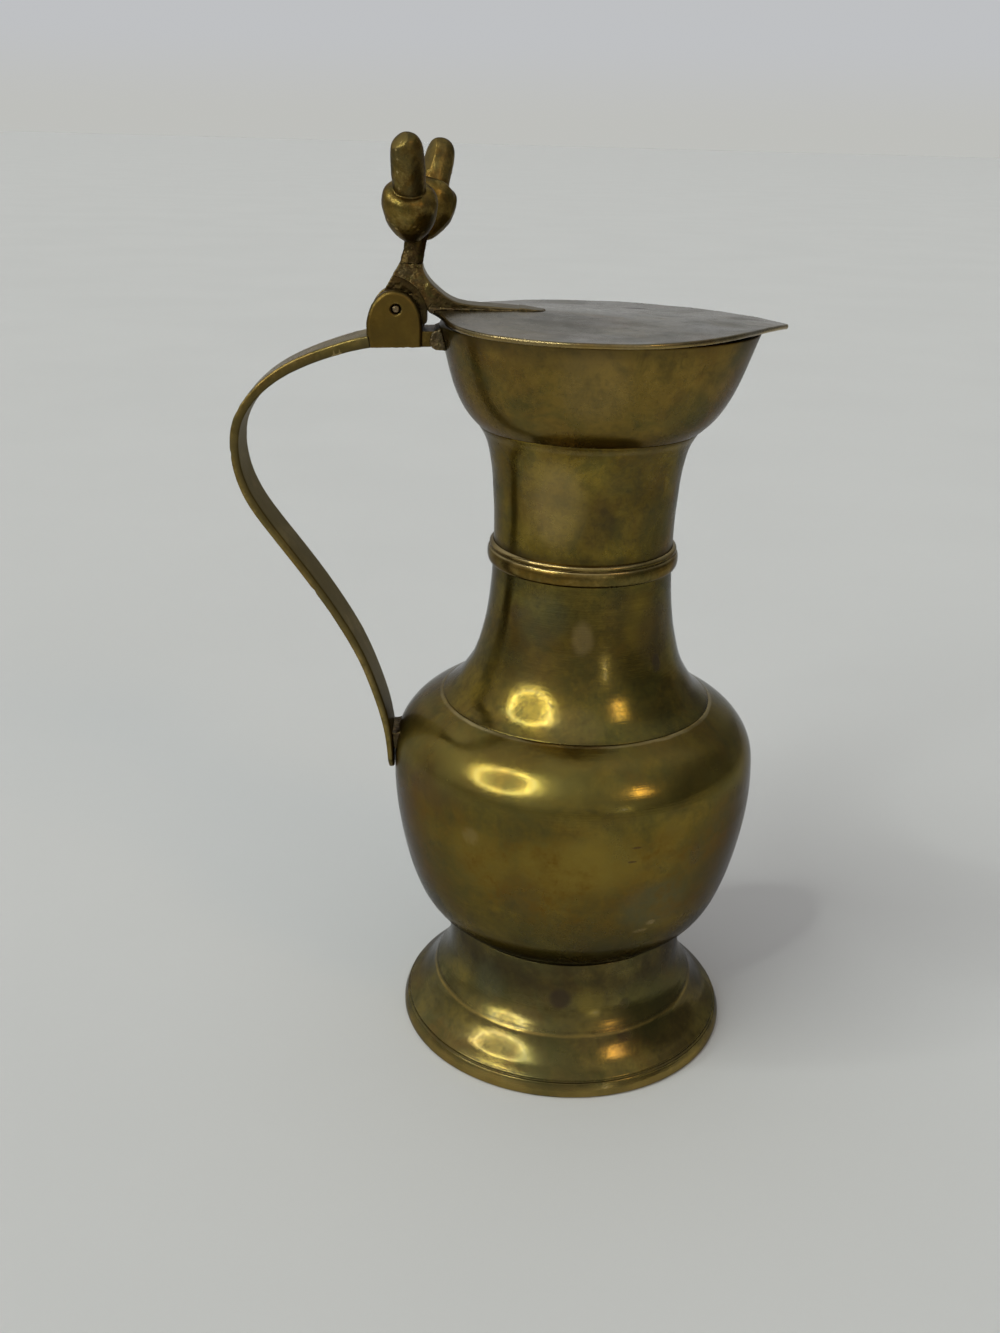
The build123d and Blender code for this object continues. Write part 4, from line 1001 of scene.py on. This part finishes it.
# ============================================================================ floor and light
def floor():
    me = bpy.data.meshes.new("floor")
    n, r = 128, 40.0
    v = [(0, 0, 0)] + [(r * math.cos(2 * math.pi * k / n), r * math.sin(2 * math.pi * k / n), 0) for k in range(n)]
    me.from_pydata(v, [], [(0, k + 1, (k + 1) % n + 1) for k in range(n)])
    o = bpy.data.objects.new("floor", me)
    scene.collection.objects.link(o)
    mat, nt, bs = tree("floor_pale")
    N = Nodes(nt)
    c = N.mix(N.remap(N.noise(5, 4, 0.5), 0.3, 0.7), (0.600, 0.615, 0.624), (0.614, 0.629, 0.638))
    x, y, z = N.xyz()
    # painted shade: away from the vessel, towards the front and both sides and more on the right, the floor turns dark
    # (0.330, 0.325, 0.310), standing for the dim room around the table
    wide = N.math("SUBTRACT", N.math("MAXIMUM", N.math("MULTIPLY", x, 1.6), N.math("MULTIPLY", x, -1.0)), N.math("MULTIPLY", N.math("MAXIMUM", y, 0.0), 0.9))
    away = N.math("MAXIMUM", N.remap(y, -0.28, -0.72), N.remap(wide, 0.45, 0.95))
    c = N.mix(away, c, (0.330, 0.325, 0.310))
    N.put(bs.inputs["Base Color"], c)
    bs.inputs["Roughness"].default_value = 0.9
    bs.inputs["Specular IOR Level"].default_value = 0.1
    me.materials.append(mat)
    return o


floor()


def lamp(name, azimuth, elevation, width, radiance, colour, ring=0.0):
    """A round soft lamp far away, so wide (in degrees) and so bright; azimuth 0 is in front, positive to the right."""
    a, e, far = math.radians(azimuth), math.radians(elevation), 300.0
    at = Vector((math.sin(a) * math.cos(e), -math.cos(a) * math.cos(e), math.sin(e))) * far + Vector((0, 0, 0.08))
    li = bpy.data.lights.new(name, "AREA")
    size = 2 * far * math.tan(math.radians(width / 2))
    li.shape, li.size, li.color = "DISK", size, colour
    li.energy = radiance * math.pi * math.pi / 4 * size * size
    o = bpy.data.objects.new(name, li)
    scene.collection.objects.link(o)
    o.location = at
    o.rotation_mode = "QUATERNION"
    o.rotation_quaternion = (Vector((0, 0, 0.08)) - at).to_track_quat("-Z", "Y")
    if ring:
        li.use_nodes = True
        nt = li.node_tree
        em = nt.nodes["Emission"]
        geo = nt.nodes.new("ShaderNodeNewGeometry")
        d = nt.nodes.new("ShaderNodeVectorMath")
        d.operation = "DISTANCE"
        d.inputs[1].default_value = (0.5, 0.5, 0.0)
        nt.links.new(geo.outputs["Parametric"], d.inputs[0])
        cr = nt.nodes.new("ShaderNodeMapRange")
        cr.interpolation_type = "SMOOTHSTEP"
        cr.inputs[1].default_value, cr.inputs[2].default_value = 0.438, 0.456
        cr.inputs[3].default_value, cr.inputs[4].default_value = 1.0, ring
        nt.links.new(d.outputs["Value"], cr.inputs[0])
        nt.links.new(cr.outputs[0], em.inputs["Strength"])
    return o


lamp("key_round", -55, 40, 36.0, 0.85, (0.97, 1.0, 0.92), ring=27.5)
lamp("small_warm", 43, 35, 11.0, 6.5, (1.0, 0.66, 0.34))
lamp("small_pale", 27, 6.5, 3.3, 10.0, (1.0, 0.97, 0.9))

world = bpy.data.worlds.new("soft_room")
scene.world = world
world.use_nodes = True
nt = world.node_tree
bg = nt.nodes["Background"]
N = Nodes(nt)
geo = nt.nodes.new("ShaderNodeTexCoord")
v = N.vmath("NORMALIZE", geo.outputs["Generated"])
x, y, z = N.xyz(v)
flat = N.math("SQRT", N.math("ADD", N.math("MULTIPLY", x, x), N.math("MULTIPLY", y, y)))
back = N.remap(N.math("DIVIDE", y, N.math("MAXIMUM", flat, 1e-4)), 0.38, 0.50)
behind = N.math("SUBTRACT", 0.52, N.remap(x, 0.42, 0.66, 0.0, 0.30))
behind = N.math("ADD", behind, N.math("MULTIPLY", N.remap(z, 0.28, 0.50), N.remap(x, -0.10, -0.55, 0.0, 0.12)))
room = N.math("ADD", N.remap(z, -0.02, 0.22, 0.32, 0.45), N.remap(z, 0.40, 0.85, 0.0, 0.10))
room = N.math("MULTIPLY", room, N.remap(x, 0.48, 0.90, 1.0, 0.34))
room = N.math("ADD", room, N.math("MULTIPLY", N.remap(z, 0.20, 0.50), N.remap(x, -0.35, -0.75, 0.0, 0.14)))
left = N.vmath("DISTANCE", v, (-0.70, -0.68, 0.05))
room = N.math("ADD", room, N.remap(left, 0.10, 0.60, 0.12, 0.0))
near_lamp = N.vmath("DISTANCE", v, (-0.627, -0.439, 0.643))
room = N.math("ADD", room, N.remap(near_lamp, 0.25, 0.85, 0.14, 0.0))
level = N.math("ADD", N.math("MULTIPLY", back, behind), N.math("MULTIPLY", N.math("SUBTRACT", 1.0, back), room))
low_tint = N.mix(N.remap(z, 0.0, 0.06), (0.997, 1.003, 0.960), (1.0, 1.02, 1.05))
tint = N.mix(back, (1.0, 0.98, 0.95), low_tint)
N.put(bg.inputs["Color"], tint)
N.put(bg.inputs["Strength"], level)
